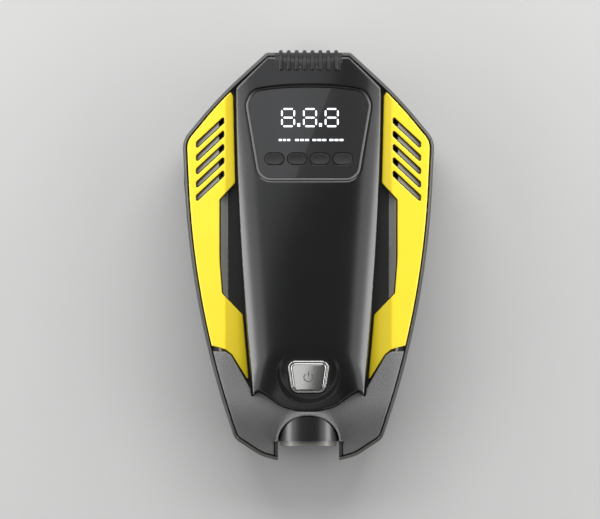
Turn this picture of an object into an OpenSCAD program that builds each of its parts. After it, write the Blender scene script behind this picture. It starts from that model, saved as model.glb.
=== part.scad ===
// Jump starter pack with a built-in tyre inflator, lying on its back with the display up.
// X runs across, Y towards the ribbed top end and Z out of the display. All sizes in millimetres.

/* [Body] */
// Length over the leg tips and the grip ribs
body_l = 205; // [200:1:212]
// Width across the shoulders
body_w = 125.5; // [122:0.5:132]
// Height from the feet to the top of the spine
body_h = 58; // [56:0.5:64]
// How far the seam between the two shells lies below the top of the spine
seam_drop = 34; // [32:0.5:35]
// Height of the back face over the floor
back_z = 1.5; // [1:0.25:2.5]
// Wall of the shells
wall = 2.5; // [2:0.25:3]
// Width of the straight top edge
top_edge_w = 42; // [38:1:44]
// Distance of the shoulders below the top edge
shoulder_drop = 43.8; // [41:0.2:47]
// How far the back face stands in from the widest line
back_in = 9; // [6:0.5:10]
// How far the spine's height draws the wall in
front_in = 3.6; // [2:0.2:4.5]
// Radius of the lengthwise crown of the front
crown_r = 1200; // [900:50:2000]

/* [Front surfaces] */
// How far the deck under the covers lies below the top of the spine
deck_drop = 16.5; // [15.5:0.25:17.5]
// How far the crest of the side panels lies below the top of the spine
crest_drop = 10.4; // [9.4:0.2:11]
// Distance of that crest from the spine's foot
crest_side = 4.9; // [4.4:0.1:5.9]
// How far the outer edge of the side panels lies below the top of the spine
panel_drop = 17.2; // [16.6:0.2:18]
// Thickness of the covers at their outer edge
cover_t = 2.3; // [2:0.1:2.6]
// Width of the shell's rim around the covers
rim_w = 1.5; // [1.2:0.1:1.8]
// Gap between the rim and the covers
rim_gap = 0.7; // [0.5:0.1:0.9]

/* [Spine] */
// Distance of the spine's foot from the display frame
spine_side = 5.1; // [4.5:0.1:5.7]
// How much narrower the foot is at the lower end
spine_taper = 7.3; // [6.5:0.1:8]
// Height of the steep wall at the foot
foot_h = 6.5; // [5.5:0.25:7.5]
// Lean of that wall
foot_lean = 0.5; // [0.3:0.1:0.8]
// Slope of the shoulder over it in degrees
shoulder_deg = 42; // [38:1:46]
// Radius of the spine across its width
spine_r = 84; // [78:1:100]
// Wall of the spine cover
spine_wall = 2.2; // [1.8:0.1:2.5]
// Gap between the spine and the side panels
spine_gap = 0.9; // [0.6:0.1:1.2]

/* [Side panels] */
// Number of slots in each side panel
slots = 5; // [3:1:5]
// Distance from slot to slot
slot_pitch = 6.65; // [6.4:0.05:6.9]
// Height of a slot along the body
slot_h = 3; // [2.4:0.1:3.4]
// Distance of the slots' inner ends from the crest
slot_in = 0.75; // [0.25:0.25:2]
// Distance of the slots' outer ends from the widest line
slot_out = 6.75; // [5.75:0.25:8.75]
// Rise of a slot per millimetre towards the spine
slot_slope = 0.93; // [0.85:0.01:1]

/* [Display] */
// Width of the display frame at its widest
display_w = 63; // [60:0.5:64]
// Height of the display frame
display_h = 47.6; // [46:0.2:49]
// Distance of the display frame below the top edge
display_drop = 16.4; // [15.6:0.2:18.2]
// Width of the display frame's edge
bezel_t = 1.5; // [1.2:0.1:1.8]
// Thickness of the window
lens_t = 1.6; // [1.4:0.1:2]
// Height of a key
key_h = 5.8; // [5.2:0.1:6.2]
// Free space between two keys
key_space = 1.85; // [1.6:0.05:2.4]
// Width of the display frame that the row of keys leaves free
key_side = 17.6; // [16.8:0.2:19]
// Distance of the keys from the display frame's lower edge
key_up = 10.8; // [9.4:0.2:11.2]
// Travel of a key
key_travel = 0.6; // [0.4:0.1:0.8]
// Side clearance of the keys and the power key
key_gap = 0.3; // [0.2:0.05:0.4]

/* [Power key] */
// Distance of the power key from the leg tips
power_up = 41.5; // [41:0.1:42.5]
// Width of the power key at its upper edge
power_top_w = 18.4; // [17.4:0.2:18.8]
// Width of the power key at its lower edge
power_low_w = 14.2; // [13.4:0.2:15]
// Height of the power key
power_h = 14.8; // [14:0.2:15.2]
// Travel of the power key
power_travel = 1; // [0.6:0.1:1.2]
// Width of the ring around the power key
power_ring_w = 0.9; // [0.8:0.1:1.1]
// Radius of the shallow hollow around the power key
hollow_r = 16.2; // [15.4:0.2:16.8]

/* [Grip and top port] */
// Number of grip ribs
ribs = 8; // [5:1:9]
// Distance from rib to rib
rib_pitch = 3.95; // [3.7:0.05:4.1]
// Width of a rib
rib_w = 2; // [1.6:0.1:2.4]
// Height of a rib
rib_h = 1.3; // [1:0.1:1.6]
// Width of the ribbed port cover
port_w = 33.2; // [32:0.2:36]
// Length of the cover's lip over the front
port_lip = 9.4; // [8:0.2:11]
// Thickness of the port covers
flap_t = 2.2; // [1.8:0.1:2.4]
// Height of the top port's hinge line over the seam
port_hinge_up = 1; // [0.8:0.1:2]
// Clearance around the port covers
flap_gap = 0.3; // [0.25:0.05:0.4]

/* [Side ports] */
// Length of the side port cover
side_port_l = 30; // [28:0.5:33]
// Distance of the side port cover below the shoulders
side_port_drop = 21.4; // [17.4:0.5:23.4]
// How far the air outlet lies below the pump's axis
outlet_drop = 6.5; // [6:0.25:7]
// Radius of the air outlet's thread
outlet_r = 3.85; // [3.6:0.05:4.2]
// Free length of the air outlet's thread
outlet_l = 8; // [7:0.5:9]

/* [Lamp] */
// Radius of the lamp barrel
lamp_r = 15; // [14:0.25:15.25]
// How far the lamp's axis lies below the top of the spine
lamp_drop = 27.5; // [27:0.25:28]
// Length of the lamp barrel
lamp_l = 12; // [11:0.25:12.5]
// Distance of the lamp's mouth from the leg tips
lamp_back = 9.5; // [8.5:0.25:10.5]
// Length of the lamp's front ring
lamp_ring_l = 2.5; // [2:0.25:3]
// Radius of the lamp's front ring
lamp_ring_r = 14; // [13.25:0.25:14]
// Clearance around the lamp barrel
lamp_gap = 0.25; // [0.2:0.05:0.4]

/* [Battery] */
// Number of cells in the stack
cells = 4; // [4:1:4]
// Gap between the battery and the board of the USB sockets
cell_side = 0.45; // [0.35:0.05:2]
// Distance of the battery from the leg tips
battery_up = 61.5; // [60:0.5:65]
// Distance of the battery from the top edge
battery_drop = 34.2; // [33.6:0.2:38]
// Free height over the stack of cells
cell_room = 2.9; // [2.1:0.1:5]
// Distance from the battery to the middle plane
cell_x = 1.8; // [1.6:0.1:2.4]

/* [Pump] */
// Bore radius of the pump
bore_r = 9.5; // [9:0.1:9.8]
// Throw of the crank
crank_throw = 4; // [3.5:0.1:4.2]
// Distance of the pump's axis from the middle plane
pump_x = 14.5; // [14.2:0.1:15]
// Distance of the crank from the middle of the body
crank_y = -9.9; // [-10.1:0.1:-5]
// Tooth module of the gears
tooth_module = 0.6; // [0.6:0.05:0.6]
// Teeth on the motor pinion
pinion_teeth = 9; // [8:1:9]
// Teeth on the crank gear
gear_teeth = 45; // [42:1:45]
// Length of the connecting rod
rod_l = 24; // [23.5:0.5:26]
// Radius of the motor
motor_r = 12; // [11:0.25:12.2]
// Distance of the motor can from the body's outline beside it
motor_side = 4.6; // [4.4:0.1:8]
// Radius of the motor shaft
motor_shaft_r = 1; // [1:0.1:1.2]

/* [Hidden] */

// Colours of the pieces
shell_grey = [0.22, 0.22, 0.22];
panel_yellow = [0.98, 0.82, 0.1];
gloss_black = [0.08, 0.08, 0.08];
rubber_grey = [0.3, 0.3, 0.31];
rubber_black = [0.12, 0.12, 0.12];
steel = [0.7, 0.71, 0.72];
brass_tone = [0.8, 0.65, 0.3];
board_green = [0.1, 0.35, 0.2];
nylon_white = [0.85, 0.85, 0.82];

// Largest distance between a curve and its chords
chord_err = 0.03;
// Overshoot of a cut
over = 1;
// Far enough outside the body for any cut
far = 130;
// Seat clearance between pieces that are pressed or glued together
seat = 0.05;

// Places that follow from the sizes above
top_y = body_l / 2 - rib_h;
tip_y = -body_l / 2;
half_w = body_w / 2;
shoulder_y = top_y - shoulder_drop;
seam_z = body_h - seam_drop;
deck_z = body_h - deck_drop;
crest_z = body_h - crest_drop;
panel_edge_z = body_h - panel_drop;
display_top_y = top_y - display_drop;
display_low_y = display_top_y - display_h;
spine_foot_x = display_w / 2 + spine_side;
crest_x = spine_foot_x + crest_side;
slot_in_x = crest_x + slot_in;
slot_out_x = half_w - slot_out;
key_pitch = (display_w - key_side) / 4;
key_w = key_pitch - key_space;
key_y = display_low_y + key_up;
power_y = tip_y + power_up;
side_port_y = shoulder_y - side_port_drop;
lamp_z = body_h - lamp_drop;
pump_z = (back_z + deck_z) / 2;
outlet_z = pump_z - outlet_drop;
port_hinge_z = seam_z + port_hinge_up;

// ---------------------------------------------------------------- outline tools

function unit(v) = v / norm(v);
function flat(p) = [p.x, p.y];
function arc_steps(r, turn) = max(1, ceil(turn / (2 * acos(1 - min(0.5, chord_err / max(r, 0.1))))));

// Closed clockwise outline with each corner [x, y, r] rounded, moved in by d
function rounded(c, d = 0) = [
    for (i = [0 : len(c) - 1])
        let (
            a = flat(c[(i + len(c) - 1) % len(c)]),
            b = flat(c[i]),
            e = flat(c[(i + 1) % len(c)]),
            u = unit(a - b),
            v = unit(e - b),
            half = acos(max(-1, min(1, u * v))) / 2,
            side = cross(b - a, e - b) < 0 ? 1 : -1,
            mid = unit(u + v),
            r = max(c[i].z - side * d, 0.02),
            p = b + mid * side * d / sin(half),
            centre = p + mid * r / sin(half),
            from = p + u * r / tan(half) - centre,
            to = p + v * r / tan(half) - centre,
            start = atan2(from.y, from.x),
            sweep = atan2(cross(from, to), from * to),
            n = arc_steps(c[i].z, 180 - 2 * half)
        )
        for (k = [0 : n]) centre + r * [cos(start + sweep * k / n), sin(start + sweep * k / n)]
];

// The right half of an outline, from the top down, with its mirror image
function both_sides(half) = concat(half, [
    for (i = [len(half) - 1 : -1 : 0]) [-half[i].x, half[i].y, half[i].z]
]);

// Skin through rings of equal length, the lowest first, each ring clockwise from above
module loft(rings, heights) {
    n = len(rings[0]);
    points = [for (i = [0 : len(rings) - 1]) for (p = rings[i]) [p.x, p.y, heights[i]]];
    walls = [
        for (i = [0 : len(rings) - 2]) for (j = [0 : n - 1])
            let (k = (j + 1) % n, lo = i * n, hi = lo + n)
                each [[lo + j, lo + k, hi + k], [lo + j, hi + k, hi + j]]
    ];
    floor = [[for (j = [n - 1 : -1 : 0]) j]];
    roof = [[for (j = [0 : n - 1]) (len(rings) - 1) * n + j]];
    polyhedron(points, concat(floor, walls, roof), convexity = 6);
}

// Vertical prism of an outline, from z0 to z1
module prism(points, z0, z1) {
    translate([0, 0, z0]) linear_extrude(z1 - z0) polygon(points);
}

// Prism along X of an outline given in Y and Z
module slab(points, x0, x1) {
    translate([x0, 0, 0]) rotate([90, 0, 90]) linear_extrude(x1 - x0) polygon(points);
}

module box(x0, x1, y0, y1, z0, z1) {
    translate([x0, y0, z0]) cube([x1 - x0, y1 - y0, z1 - z0]);
}

// Rod along Y
module rod_y(r, y0, y1) {
    translate([0, y0, 0]) rotate([-90, 0, 0]) cylinder(r = r, h = y1 - y0, $fn = 96);
}

// Rod along X
module rod_x(r, x0, x1) {
    translate([x0, 0, 0]) rotate([0, 90, 0]) cylinder(r = r, h = x1 - x0, $fn = 64);
}

// ---------------------------------------------------------------- body surfaces

// The edge from the top to the shoulder is bowed at this share of its way
bow = [0.576, 0.498];
// Bow of the lower flank: place, radius and half length
flank_y = tip_y + 74.7;
flank_r = 440;
bow_run = 62;
// How far the flank draws in there and at the cheek
flank_in = 3.85;
cheek_in = 25.8;
// Corners of the body's outline, right half
body_half = [
    [top_edge_w / 2, top_y, 3],
    [top_edge_w / 2 + (half_w - top_edge_w / 2) * bow.x, shoulder_y + shoulder_drop * bow.y, 200],
    [half_w + 0.24, shoulder_y, 12],
    [half_w - flank_in, flank_y, flank_r],
    [half_w - cheek_in, tip_y + 10.6, 7],
    [lamp_r + 8.95, tip_y + 2.1, 18],
    [lamp_r + 1.45, tip_y, 1.5]
];
body_outline = both_sides(body_half);
// Half width of the body at y, on its bowed lower flank
function flank_x(y) = half_w - flank_in
    - max(0, flank_y - y) * (cheek_in - flank_in) / (flank_y - tip_y - 10.6)
    - pow(max(0, bow_run - abs(y - flank_y)), 2) / (2 * flank_r);

// How far the wall stands in from the widest line, at height z
function wall_in(z) = z < seam_z
    ? back_in * (1 - sqrt(1 - pow((seam_z - z) / (seam_z - back_z), 2)))
    : front_in * pow((z - seam_z) / (body_h - seam_z), 2);

// Rounded lower body below the seam, moved in by d and starting at z0
module back_core(d, z0, rise = 0) {
    zs = concat([for (a = [90 : -18 : 0]) seam_z - (seam_z - z0) * sin(a)], rise > 0 ? [seam_z + rise] : []);
    loft([for (z = zs) rounded(body_outline, d + wall_in(min(z, seam_z)))], zs);
}

// Drafted upper body above the seam, moved in by d
module front_core(d, drop = 0) {
    zs = concat(
        drop > 0 ? [seam_z - drop] : [],
        [for (k = [0 : 4]) seam_z + (body_h + over - seam_z) * k / 4]
    );
    loft([for (z = zs) rounded(body_outline, d + wall_in(max(z, seam_z)))], zs);
}

// Solid below a front surface: the profile [x, z] crowned along the body
module crowned(profile, lift = 0) {
    reach = asin(far / crown_r);
    rim = concat(
        [for (i = [len(profile) - 1 : -1 : 1]) [-profile[i].x, profile[i].y]],
        profile
    );
    edge = rim[len(rim) - 1].x;
    translate([0, 0, -crown_r])
        rotate([0, -90, 0])
            rotate([0, 0, -reach])
                rotate_extrude(angle = 2 * reach, $fn = 900)
                    polygon(concat(
                        [for (p = rim) [crown_r + p.y + lift, p.x]],
                        [[crown_r - far, edge], [crown_r - far, -edge]]
                    ));
}

// Inner facet of the side panels falls by this much per millimetre
facet_slope = 0.4;
// Deck under the covers: channel floor, bevel beside the channel, bed of the panel
deck_profile = [
    [0, deck_z],
    [crest_x - 1.3, deck_z],
    [crest_x + 2.25, crest_z - cover_t],
    [half_w - 2.75, panel_edge_z - cover_t],
    [half_w + 5, panel_edge_z - cover_t - 2]
];
// Faceted top of the side panels
panel_profile = [
    [0, crest_z - facet_slope * crest_x],
    [crest_x, crest_z],
    [half_w - 2.75, panel_edge_z],
    [half_w + 5, panel_edge_z - 3]
];
// Rounded top of the bumper, and of the rim a little lower
bumper_profile = [
    [0, crest_z + 0.6],
    [crest_x - 14, crest_z + 0.5],
    [crest_x - 4, crest_z + 0.3],
    [crest_x + 1, crest_z - 0.1],
    [crest_x + 5, crest_z - 1.4],
    [half_w - 2.75, panel_edge_z + 0.1],
    [half_w + 5, panel_edge_z - 3]
];
// Arched top of the spine
spine_profile = [
    for (k = [0 : 8]) let (x = 48 * k / 8) [x, body_h - spine_r + sqrt(spine_r * spine_r - x * x)]
];

// Side view of the body under the covers: toe, slope over the legs, top edge
toe_path = [
    [tip_y - 5, seam_z, 0.5],
    [tip_y + 10, seam_z + 7, 8],
    [tip_y + 22.5, body_h - 12.4, 24],
    [0, body_h - 8.5, 50],
    [top_y, body_h - 8.5, 10],
    [top_y, -far, 0.5],
    [tip_y - 5, -far, 0.5]
];
// Side view of the spine: lower slope with the power key, crown, rounded top end
spine_low_y = tip_y + 23;
spine_low_z = body_h - 12.2;
spine_bend_y = tip_y + 50.5;
spine_bend_z = body_h - 0.6;
spine_path = [
    [spine_low_y, spine_low_z, 0.5],
    [spine_bend_y, spine_bend_z, 30],
    [top_y, body_h + 2, 15],
    [top_y, -far, 0.5],
    [spine_low_y, -far, 0.5]
];
slope_deg = atan((spine_bend_z - spine_low_z) / (spine_bend_y - spine_low_y));

// Half width of the spine's foot at y
spine_top_y = top_y - 15.2;
spine_span = body_l - 60.5;
function foot_x(y) = spine_foot_x - spine_taper * pow((spine_top_y - y) / spine_span, 2);

// Everything under the covers, as one solid
module deck_block(lift = 0) {
    intersection() {
        crowned(deck_profile, lift);
        slab(rounded(toe_path, cover_t - lift), -far, far);
    }
}

// ---------------------------------------------------------------- cover outlines

cover_in = rim_w + rim_gap;
cover_gap = 0.4;

// Seam between the spine and the bumper: middle, and corner at the spine's foot
seam_low_y = tip_y + 24.5;
seam_y = tip_y + 33;
seam_x = foot_x(seam_y);
side_x = half_w + 10;
// Spine region: everything above its lower seam
spine_region = both_sides([
    [side_x, far, 1], [side_x, seam_y, 1], [seam_x + 0.2, seam_y - 1.2, 0.6],
    [seam_x - 2.9, seam_y + 1.9, 1.5], [seam_x - 6.9, seam_y - 0.1, 4],
    [seam_x / 2 - 0.85, seam_low_y + 2.4, 14], [4, seam_low_y, 20]
]);
// Height of the seam between the bumper and the side panels at the outer edge
cheek_y = tip_y + 54.9;
// Bumper region: everything below the seams of the spine and the side panels
bumper_region = both_sides([
    [4, seam_low_y - cover_gap, 20], [seam_x / 2 - 0.85, seam_low_y + 2.4 - cover_gap, 14],
    [seam_x - 6.9, seam_y - 0.1 - cover_gap, 4], [seam_x - 2.9, seam_y + 1.9 - cover_gap, 1.5],
    [seam_x + 0.4, seam_y - 1.4 - cover_gap, 0.6], [foot_x(seam_y + 0.5) + 1.9, seam_y + 0.5, 0.6],
    [crest_x - 2.7, cheek_y - 3.2, 3], [crest_x + 0.1, cheek_y - 1.5, 2],
    [side_x, cheek_y, 1], [side_x, -far, 1]
]);

// Half width of a side panel's inner edge: the spine widens as the crowned deck falls away
function panel_inner(y) = foot_x(y) + spine_gap + y * y / (2 * crown_r) * foot_lean / foot_h;
channel_top_y = shoulder_y - 21.4;
channel_low_y = tip_y + 72.5;
channel_x = crest_x + 3.6;
panel_low_y = tip_y + 39.2;
panel_tip_y = top_y - 20.2;
panel_region = [
    [side_x, top_y - 6, 1],
    [side_x, cheek_y + 3, 1],
    [crest_x + 6.4, cheek_y + 2.2, 3],
    [crest_x, cheek_y + 0.5, 2],
    [crest_x - 3.3, cheek_y - 2.3, 2],
    [panel_inner(panel_low_y), panel_low_y, 0.5],
    [panel_inner(channel_low_y), channel_low_y, 1],
    [channel_x - 1.9, channel_low_y + 10.8, 1.5],
    [channel_x, (channel_top_y + channel_low_y) / 2 - 5.5, 80],
    [channel_x - 0.6, channel_top_y - 8.3, 1.5],
    [panel_inner(channel_top_y), channel_top_y, 1],
    [panel_inner(panel_tip_y - 1.5), panel_tip_y - 1.5, 1],
    [panel_inner(panel_tip_y) + 1.4, panel_tip_y + 0.6, 0.8],
    [panel_inner(panel_tip_y) + 8, top_y - 6, 1]
];

module body_prism(d, z0 = -over, z1 = far) {
    prism(rounded(body_outline, d), z0, z1);
}

// ---------------------------------------------------------------- places shared by several pieces

mouth_y = tip_y + lamp_back;
lamp_neck_r = 8.5;
lamp_neck_l = 8;

// Room for the lamp and the notch before it, wider by d
module lamp_room(d = 0) {
    r = lamp_r + lamp_gap + d;
    translate([0, 0, lamp_z]) rod_y(r, -far, mouth_y + lamp_l + lamp_gap);
    translate([0, 0, lamp_z])
        rod_y(lamp_neck_r + lamp_gap + d, -far, mouth_y + lamp_l + lamp_neck_l + lamp_gap);
    box(-r, r, -far, mouth_y + d, -over, far);
}

// Frame of the power key: origin on the lower slope, Z square to it
power_z = spine_low_z + (power_y - spine_low_y) * tan(slope_deg);
module on_slope() {
    translate([0, power_y, power_z]) rotate([slope_deg, 0, 0]) children();
}
power_corners = both_sides([[power_top_w / 2, power_h / 2, 2.4], [power_low_w / 2, -power_h / 2, 2.6]]);
power_top = 0.4;
power_depth = 4.5;
ring_depth = 3.2;

// Arched top edge of the display frame: its fall, and the run of its outer part
arch_drop = 2.2;
arch_run = display_w * 5 / 18 - 3.7;
// Display frame outline, right half, from the top edge
display_corners = both_sides([
    [display_w * 2 / 9, display_top_y, 1.733 * arch_run * arch_run / arch_drop],
    [display_w / 2 - 3.7, display_top_y - arch_drop, 2],
    [display_w / 2, display_top_y - 9, 2.5],
    [display_w / 2 - 5.2, display_low_y + 8.3, 3],
    [display_w / 2 - 11.9, display_low_y, 3]
]);
display_board_z = body_h - 14;
board_t = 1.6;
main_board_z = deck_z + 0.3;
bezel_depth = 3.4;

module key_shape(grow) {
    for (x = [-1, 1]) translate([x * (key_w - key_h) / 2, 0]) circle(r = key_h / 2 + grow, $fn = 48);
    square([key_w - key_h, key_h + 2 * grow], center = true);
}
function key_x(i) = (i - 1.5) * key_pitch;
key_low_z = body_h - 7.4;

// Screws that hold the shells together: places of the right half
screw_half = [
    [half_w - 15.75, shoulder_y - 0.4], [half_w - 25.75, tip_y + 50],
    [lamp_r + 11.6, tip_y + 18.5], [top_edge_w / 2 + 4.5, top_y - 19.2]
];
screw_places = concat(screw_half, [for (p = screw_half) [-p.x, p.y]]);
boss_r = 3.6;
screw_r = 1.5;
screw_head_r = 2.8;
screw_seat_z = back_z + 3.2;
foot_places = [for (s = [1, -1]) each [
    [s * (half_w - 27.75), shoulder_y + 0.6], [s * (half_w - 37.75), tip_y + 36.5]
]];
foot_r = 6;
foot_sink = 1;

// ---------------------------------------------------------------- ports

flap_floor_y = top_y - flap_t - flap_gap;

// Room of the top port cover, wider by d and deeper by t than the surface
module port_room(d, t, lift = 0) {
    intersection() {
        difference() {
            port_side(lift);
            port_side(-t);
        }
        box(-port_w / 2 - d, port_w / 2 + d, top_y - port_lip - d, far, port_hinge_z - d, far);
    }
}

// Side view of the top end as it shows, raised by lift: the spine's rounded end
module port_side(lift) {
    intersection() {
        slab(rounded(spine_path, -lift), -port_w, port_w);
        crowned(spine_profile, lift);
    }
}

side_flap_z = seam_z - 13;
side_flap_top_z = seam_z - 0.8;
side_flap_hinge_x = -half_w - 0.15;
side_frame_x = half_w - 7;
module side_room(d, z0, z1) {
    box(-far, 0, side_port_y - side_port_l / 2 - d, side_port_y + side_port_l / 2 + d, z0, z1);
}
usb_z = seam_z - 7.2;
usb_w = 13.1;
usb_h = 5.7;
usb_l = 14;
usb_pitch = 15;
// Half width of the wall at the lower end of the side port
side_wall_x = half_w - flank_in * (shoulder_y - side_port_y + side_port_l / 2) / (shoulder_y - flank_y);
usb_mouth_x = -side_wall_x + wall_in(usb_z - usb_h / 2) + flap_t + flap_gap;
usb_board_x = usb_mouth_x + usb_l + 0.4;
usb_places = [side_port_y - usb_pitch / 2, side_port_y + usb_pitch / 2];

outlet_room_r = 7.6;
outlet_undercut = 0.8;
outlet_seat_x = half_w - outlet_l - outlet_undercut - 1.4;

socket_w = 24;
socket_h = 10;
socket_l = 17;
socket_z = port_hinge_z + 5.4;
contact_r = 2.9;
contact_pitch = 11;

// ---------------------------------------------------------------- shells

module screw_holes(z0, z1) {
    for (p = screw_places) translate([p.x, p.y, z0]) cylinder(r = screw_r, h = z1 - z0, $fn = 32);
}

module rear_shell() color(shell_grey) {
    difference() {
        back_core(0, back_z);
        difference() {
            back_core(wall, back_z + wall, over);
            // Walls round the notch, the side port and the air outlet, and the screw bosses
            box(-lamp_r - lamp_gap - wall, lamp_r + lamp_gap + wall, -far, mouth_y + wall, -over, far);
            side_wall_room = side_port_l / 2 + 4;
            box(-far, -side_frame_x, side_port_y - side_wall_room, side_port_y + side_wall_room, 0, far);
            translate([0, outlet_y, outlet_z])
                rod_x(outlet_room_r + 2, outlet_seat_x - 2.5, half_w + over);
            for (p = screw_places)
                translate([p.x, p.y, 0]) cylinder(r = boss_r, h = seam_z, $fn = 48);
        }
        lamp_room();
        // Pocket of the side port cover, and the mouth behind it
        intersection() {
            difference() {
                side_room(flap_gap, side_flap_z - flap_gap, far);
                back_core(flap_t + flap_gap, back_z + wall, over);
            }
            side_room(flap_gap, side_flap_z - flap_gap, seam_z + over);
        }
        box(-half_w, -side_frame_x + over, side_port_y - usb_pitch, side_port_y + usb_pitch,
            usb_z - usb_h / 2 - 0.6, usb_z + usb_h / 2 + 0.6);
        // Air outlet: pocket and seat
        translate([0, outlet_y, outlet_z]) {
            rod_x(outlet_room_r, outlet_seat_x, half_w + over);
            rod_x(outlet_r + seat, outlet_seat_x - 4, half_w);
        }
        // Screws and feet
        screw_holes(0, seam_z + over);
        for (p = screw_places)
            translate([p.x, p.y, -over]) cylinder(r = screw_head_r + 0.3, h = screw_seat_z + over, $fn = 48);
        for (p = foot_places)
            translate([p.x, p.y, -over]) cylinder(r = foot_r + seat, h = back_z + foot_sink + over, $fn = 64);
    }
}

module rear_screws() color(steel) {
    for (p = screw_places) translate([p.x, p.y, 0]) difference() {
        union() {
            translate([0, 0, screw_seat_z - 1.8]) cylinder(r = screw_head_r, h = 1.8, $fn = 48);
            translate([0, 0, screw_seat_z - 0.2])
                cylinder(r = screw_r - seat, h = seam_z - screw_seat_z + 8, $fn = 32);
        }
        for (a = [0, 90]) rotate(a) translate([-1.6, -0.35, screw_seat_z - 2]) cube([3.2, 0.7, 1.2]);
    }
}

module rubber_feet() color(rubber_black) {
    for (p = foot_places) translate([p.x, p.y, 0]) {
        cylinder(r = foot_r, h = back_z + foot_sink - seat, $fn = 64);
    }
}

// Window under the spine, and the pads that the main board lies on
window_x = display_w / 2 - 8.5;
window_low_y = power_y - 1;
window_top_y = display_top_y + 1.2;
board_x = window_x + 3;
board_low_y = power_y - 2;
board_top_y = display_low_y - 2.7;
pad_places = [board_low_y + 6, board_top_y - 4.5];

module front_shell() color(shell_grey) {
    difference() {
        intersection() {
            front_core(0);
            union() {
                deck_block();
                // Rim round the covers
                difference() {
                    intersection() {
                        crowned(bumper_profile, -0.4);
                        slab(rounded(toe_path, 0.4), -far, far);
                    }
                    body_prism(rim_w);
                }
                // Pads of the main board
                for (y = pad_places, s = [-1, 1])
                    box(s * board_x - 3, s * board_x + 3, y - 4, y + 4, seam_z + 12, main_board_z);
            }
        }
        // Hollow inside
        difference() {
            intersection() {
                front_core(wall, over);
                deck_block(-wall);
            }
            box(-lamp_r - lamp_gap - wall, lamp_r + lamp_gap + wall, -far, mouth_y + wall, -over, far);
            for (p = screw_places)
                translate([p.x, p.y, seam_z]) cylinder(r = boss_r, h = 40, $fn = 48);
            box(-port_w / 2 - 2, port_w / 2 + 2, flap_floor_y - 2.5, far, seam_z, far);
        }
        // Window under the spine
        box(-window_x, window_x, window_low_y, window_top_y, seam_z + 8, far);
        lamp_room();
        screw_holes(seam_z - over, seam_z + 8.5);
        // Openings below the slots of the side panels
        for (s = [0, 1]) mirror([s, 0, 0])
            for (i = [0 : slots - 1]) slot_cut(i, slot_in_x, slot_in_x + 5, seam_z + 6);
        // Top port: pocket of the cover and way of the socket
        box(-port_w / 2 - flap_gap, port_w / 2 + flap_gap, flap_floor_y, far, port_hinge_z - flap_gap, far);
        box(-socket_w / 2 - seat, socket_w / 2 + seat, top_y - 20, far,
            socket_z - socket_h / 2 - seat, socket_z + socket_h / 2 + seat);
    }
}

// ---------------------------------------------------------------- covers

// The wall is drawn on below the deck, which falls towards both ends
foot_low = 8;
// Outer form of the spine, thinner by t all over
module spine_block(t = 0) {
    rise = body_h + over - deck_z - foot_h;
    stations = [for (k = [0 : 17]) top_y + 7 - k * (body_l - 1) / 17];
    back = [for (i = [len(stations) - 1 : -1 : 0]) stations[i]];
    function side(s, d) = [for (y = s > 0 ? stations : back) [s * (foot_x(y) - t - d), y]];
    insets = [-foot_lean * foot_low / foot_h, foot_lean, foot_lean + rise / tan(shoulder_deg)];
    intersection() {
        loft([for (d = insets) concat(side(1, d), side(-1, d))],
            [deck_z - foot_low, deck_z + foot_h, body_h + over]);
        crowned(spine_profile, -t);
        slab(rounded(spine_path, t), -far, far);
        body_prism(cover_in + t, 0, far);
    }
}

module spine_cover() color(gloss_black) {
    difference() {
        intersection() {
            spine_block();
            prism(rounded(spine_region), 0, far);
        }
        deck_block();
        // Hollow inside, with the posts of the display board left standing
        difference() {
            intersection() {
                spine_block(spine_wall);
                box(-far, far, power_y - 5, top_y - port_lip - 3, 0, far);
            }
            for (s = [-1, 1]) {
                translate([s * (display_w / 2 - 11), display_low_y + 5.8, display_board_z + board_t])
                    cylinder(r = 2.4, h = 20, $fn = 32);
                translate([s * (display_w / 2 - 8.5), display_top_y - 4.8, display_board_z + board_t])
                    cylinder(r = 2.4, h = 20, $fn = 32);
            }
        }
        // Display frame's seat, and its window
        intersection() {
            prism(rounded(display_corners, -seat), 0, far);
            difference() {
                crowned(spine_profile, 2);
                crowned(spine_profile, -bezel_depth / 2);
            }
        }
        prism(rounded(display_corners, bezel_t), display_board_z, far);
        // Power key: hollow and hole
        on_slope() {
            translate([0, 2, -0.55]) rotate([2, 0, 0]) cylinder(r = hollow_r, h = 20, $fn = 128);
            prism(rounded(power_corners, -power_ring_w - key_gap - seat), -20, 20);
        }
        lamp_room();
        port_room(flap_gap, flap_t + flap_gap, 3);
        box(-socket_w / 2 - 1, socket_w / 2 + 1, flap_floor_y - 1, far, 0, socket_z + socket_h / 2 + 1);
        for (y = pad_places, s = [-1, 1])
            box(s * board_x - 4, s * board_x + 4, y - 5, y + 5, 0, main_board_z + 1);
    }
}

// One slanted slot of the right side panel, cut from x0 to x1 down to z0
module slot_cut(i, x0, x1, z0) {
    first_y = shoulder_y - 4.1;
    function low(x) = first_y - i * slot_pitch + (slot_out_x - x) * slot_slope;
    prism([[x0, low(x0)], [x0, low(x0) + slot_h], [x1, low(x1) + slot_h], [x1, low(x1)]], z0, far);
}

module side_panel() color(panel_yellow) {
    difference() {
        intersection() {
            prism(rounded(panel_region), 0, far);
            body_prism(cover_in, 0, far);
            crowned(panel_profile);
            slab(rounded(toe_path), -far, far);
        }
        deck_block();
        for (i = [0 : slots - 1]) slot_cut(i, slot_in_x, slot_out_x, 0);
    }
}
module right_side_panel() side_panel();
module left_side_panel() mirror([1, 0, 0]) side_panel();

module lower_bumper() color(rubber_grey) {
    difference() {
        intersection() {
            prism(rounded(bumper_region), 0, far);
            crowned(bumper_profile);
            slab(rounded(toe_path), -far, far);
            body_prism(cover_in, 0, far);
        }
        deck_block();
        lamp_room();
    }
}

// ---------------------------------------------------------------- display

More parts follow.
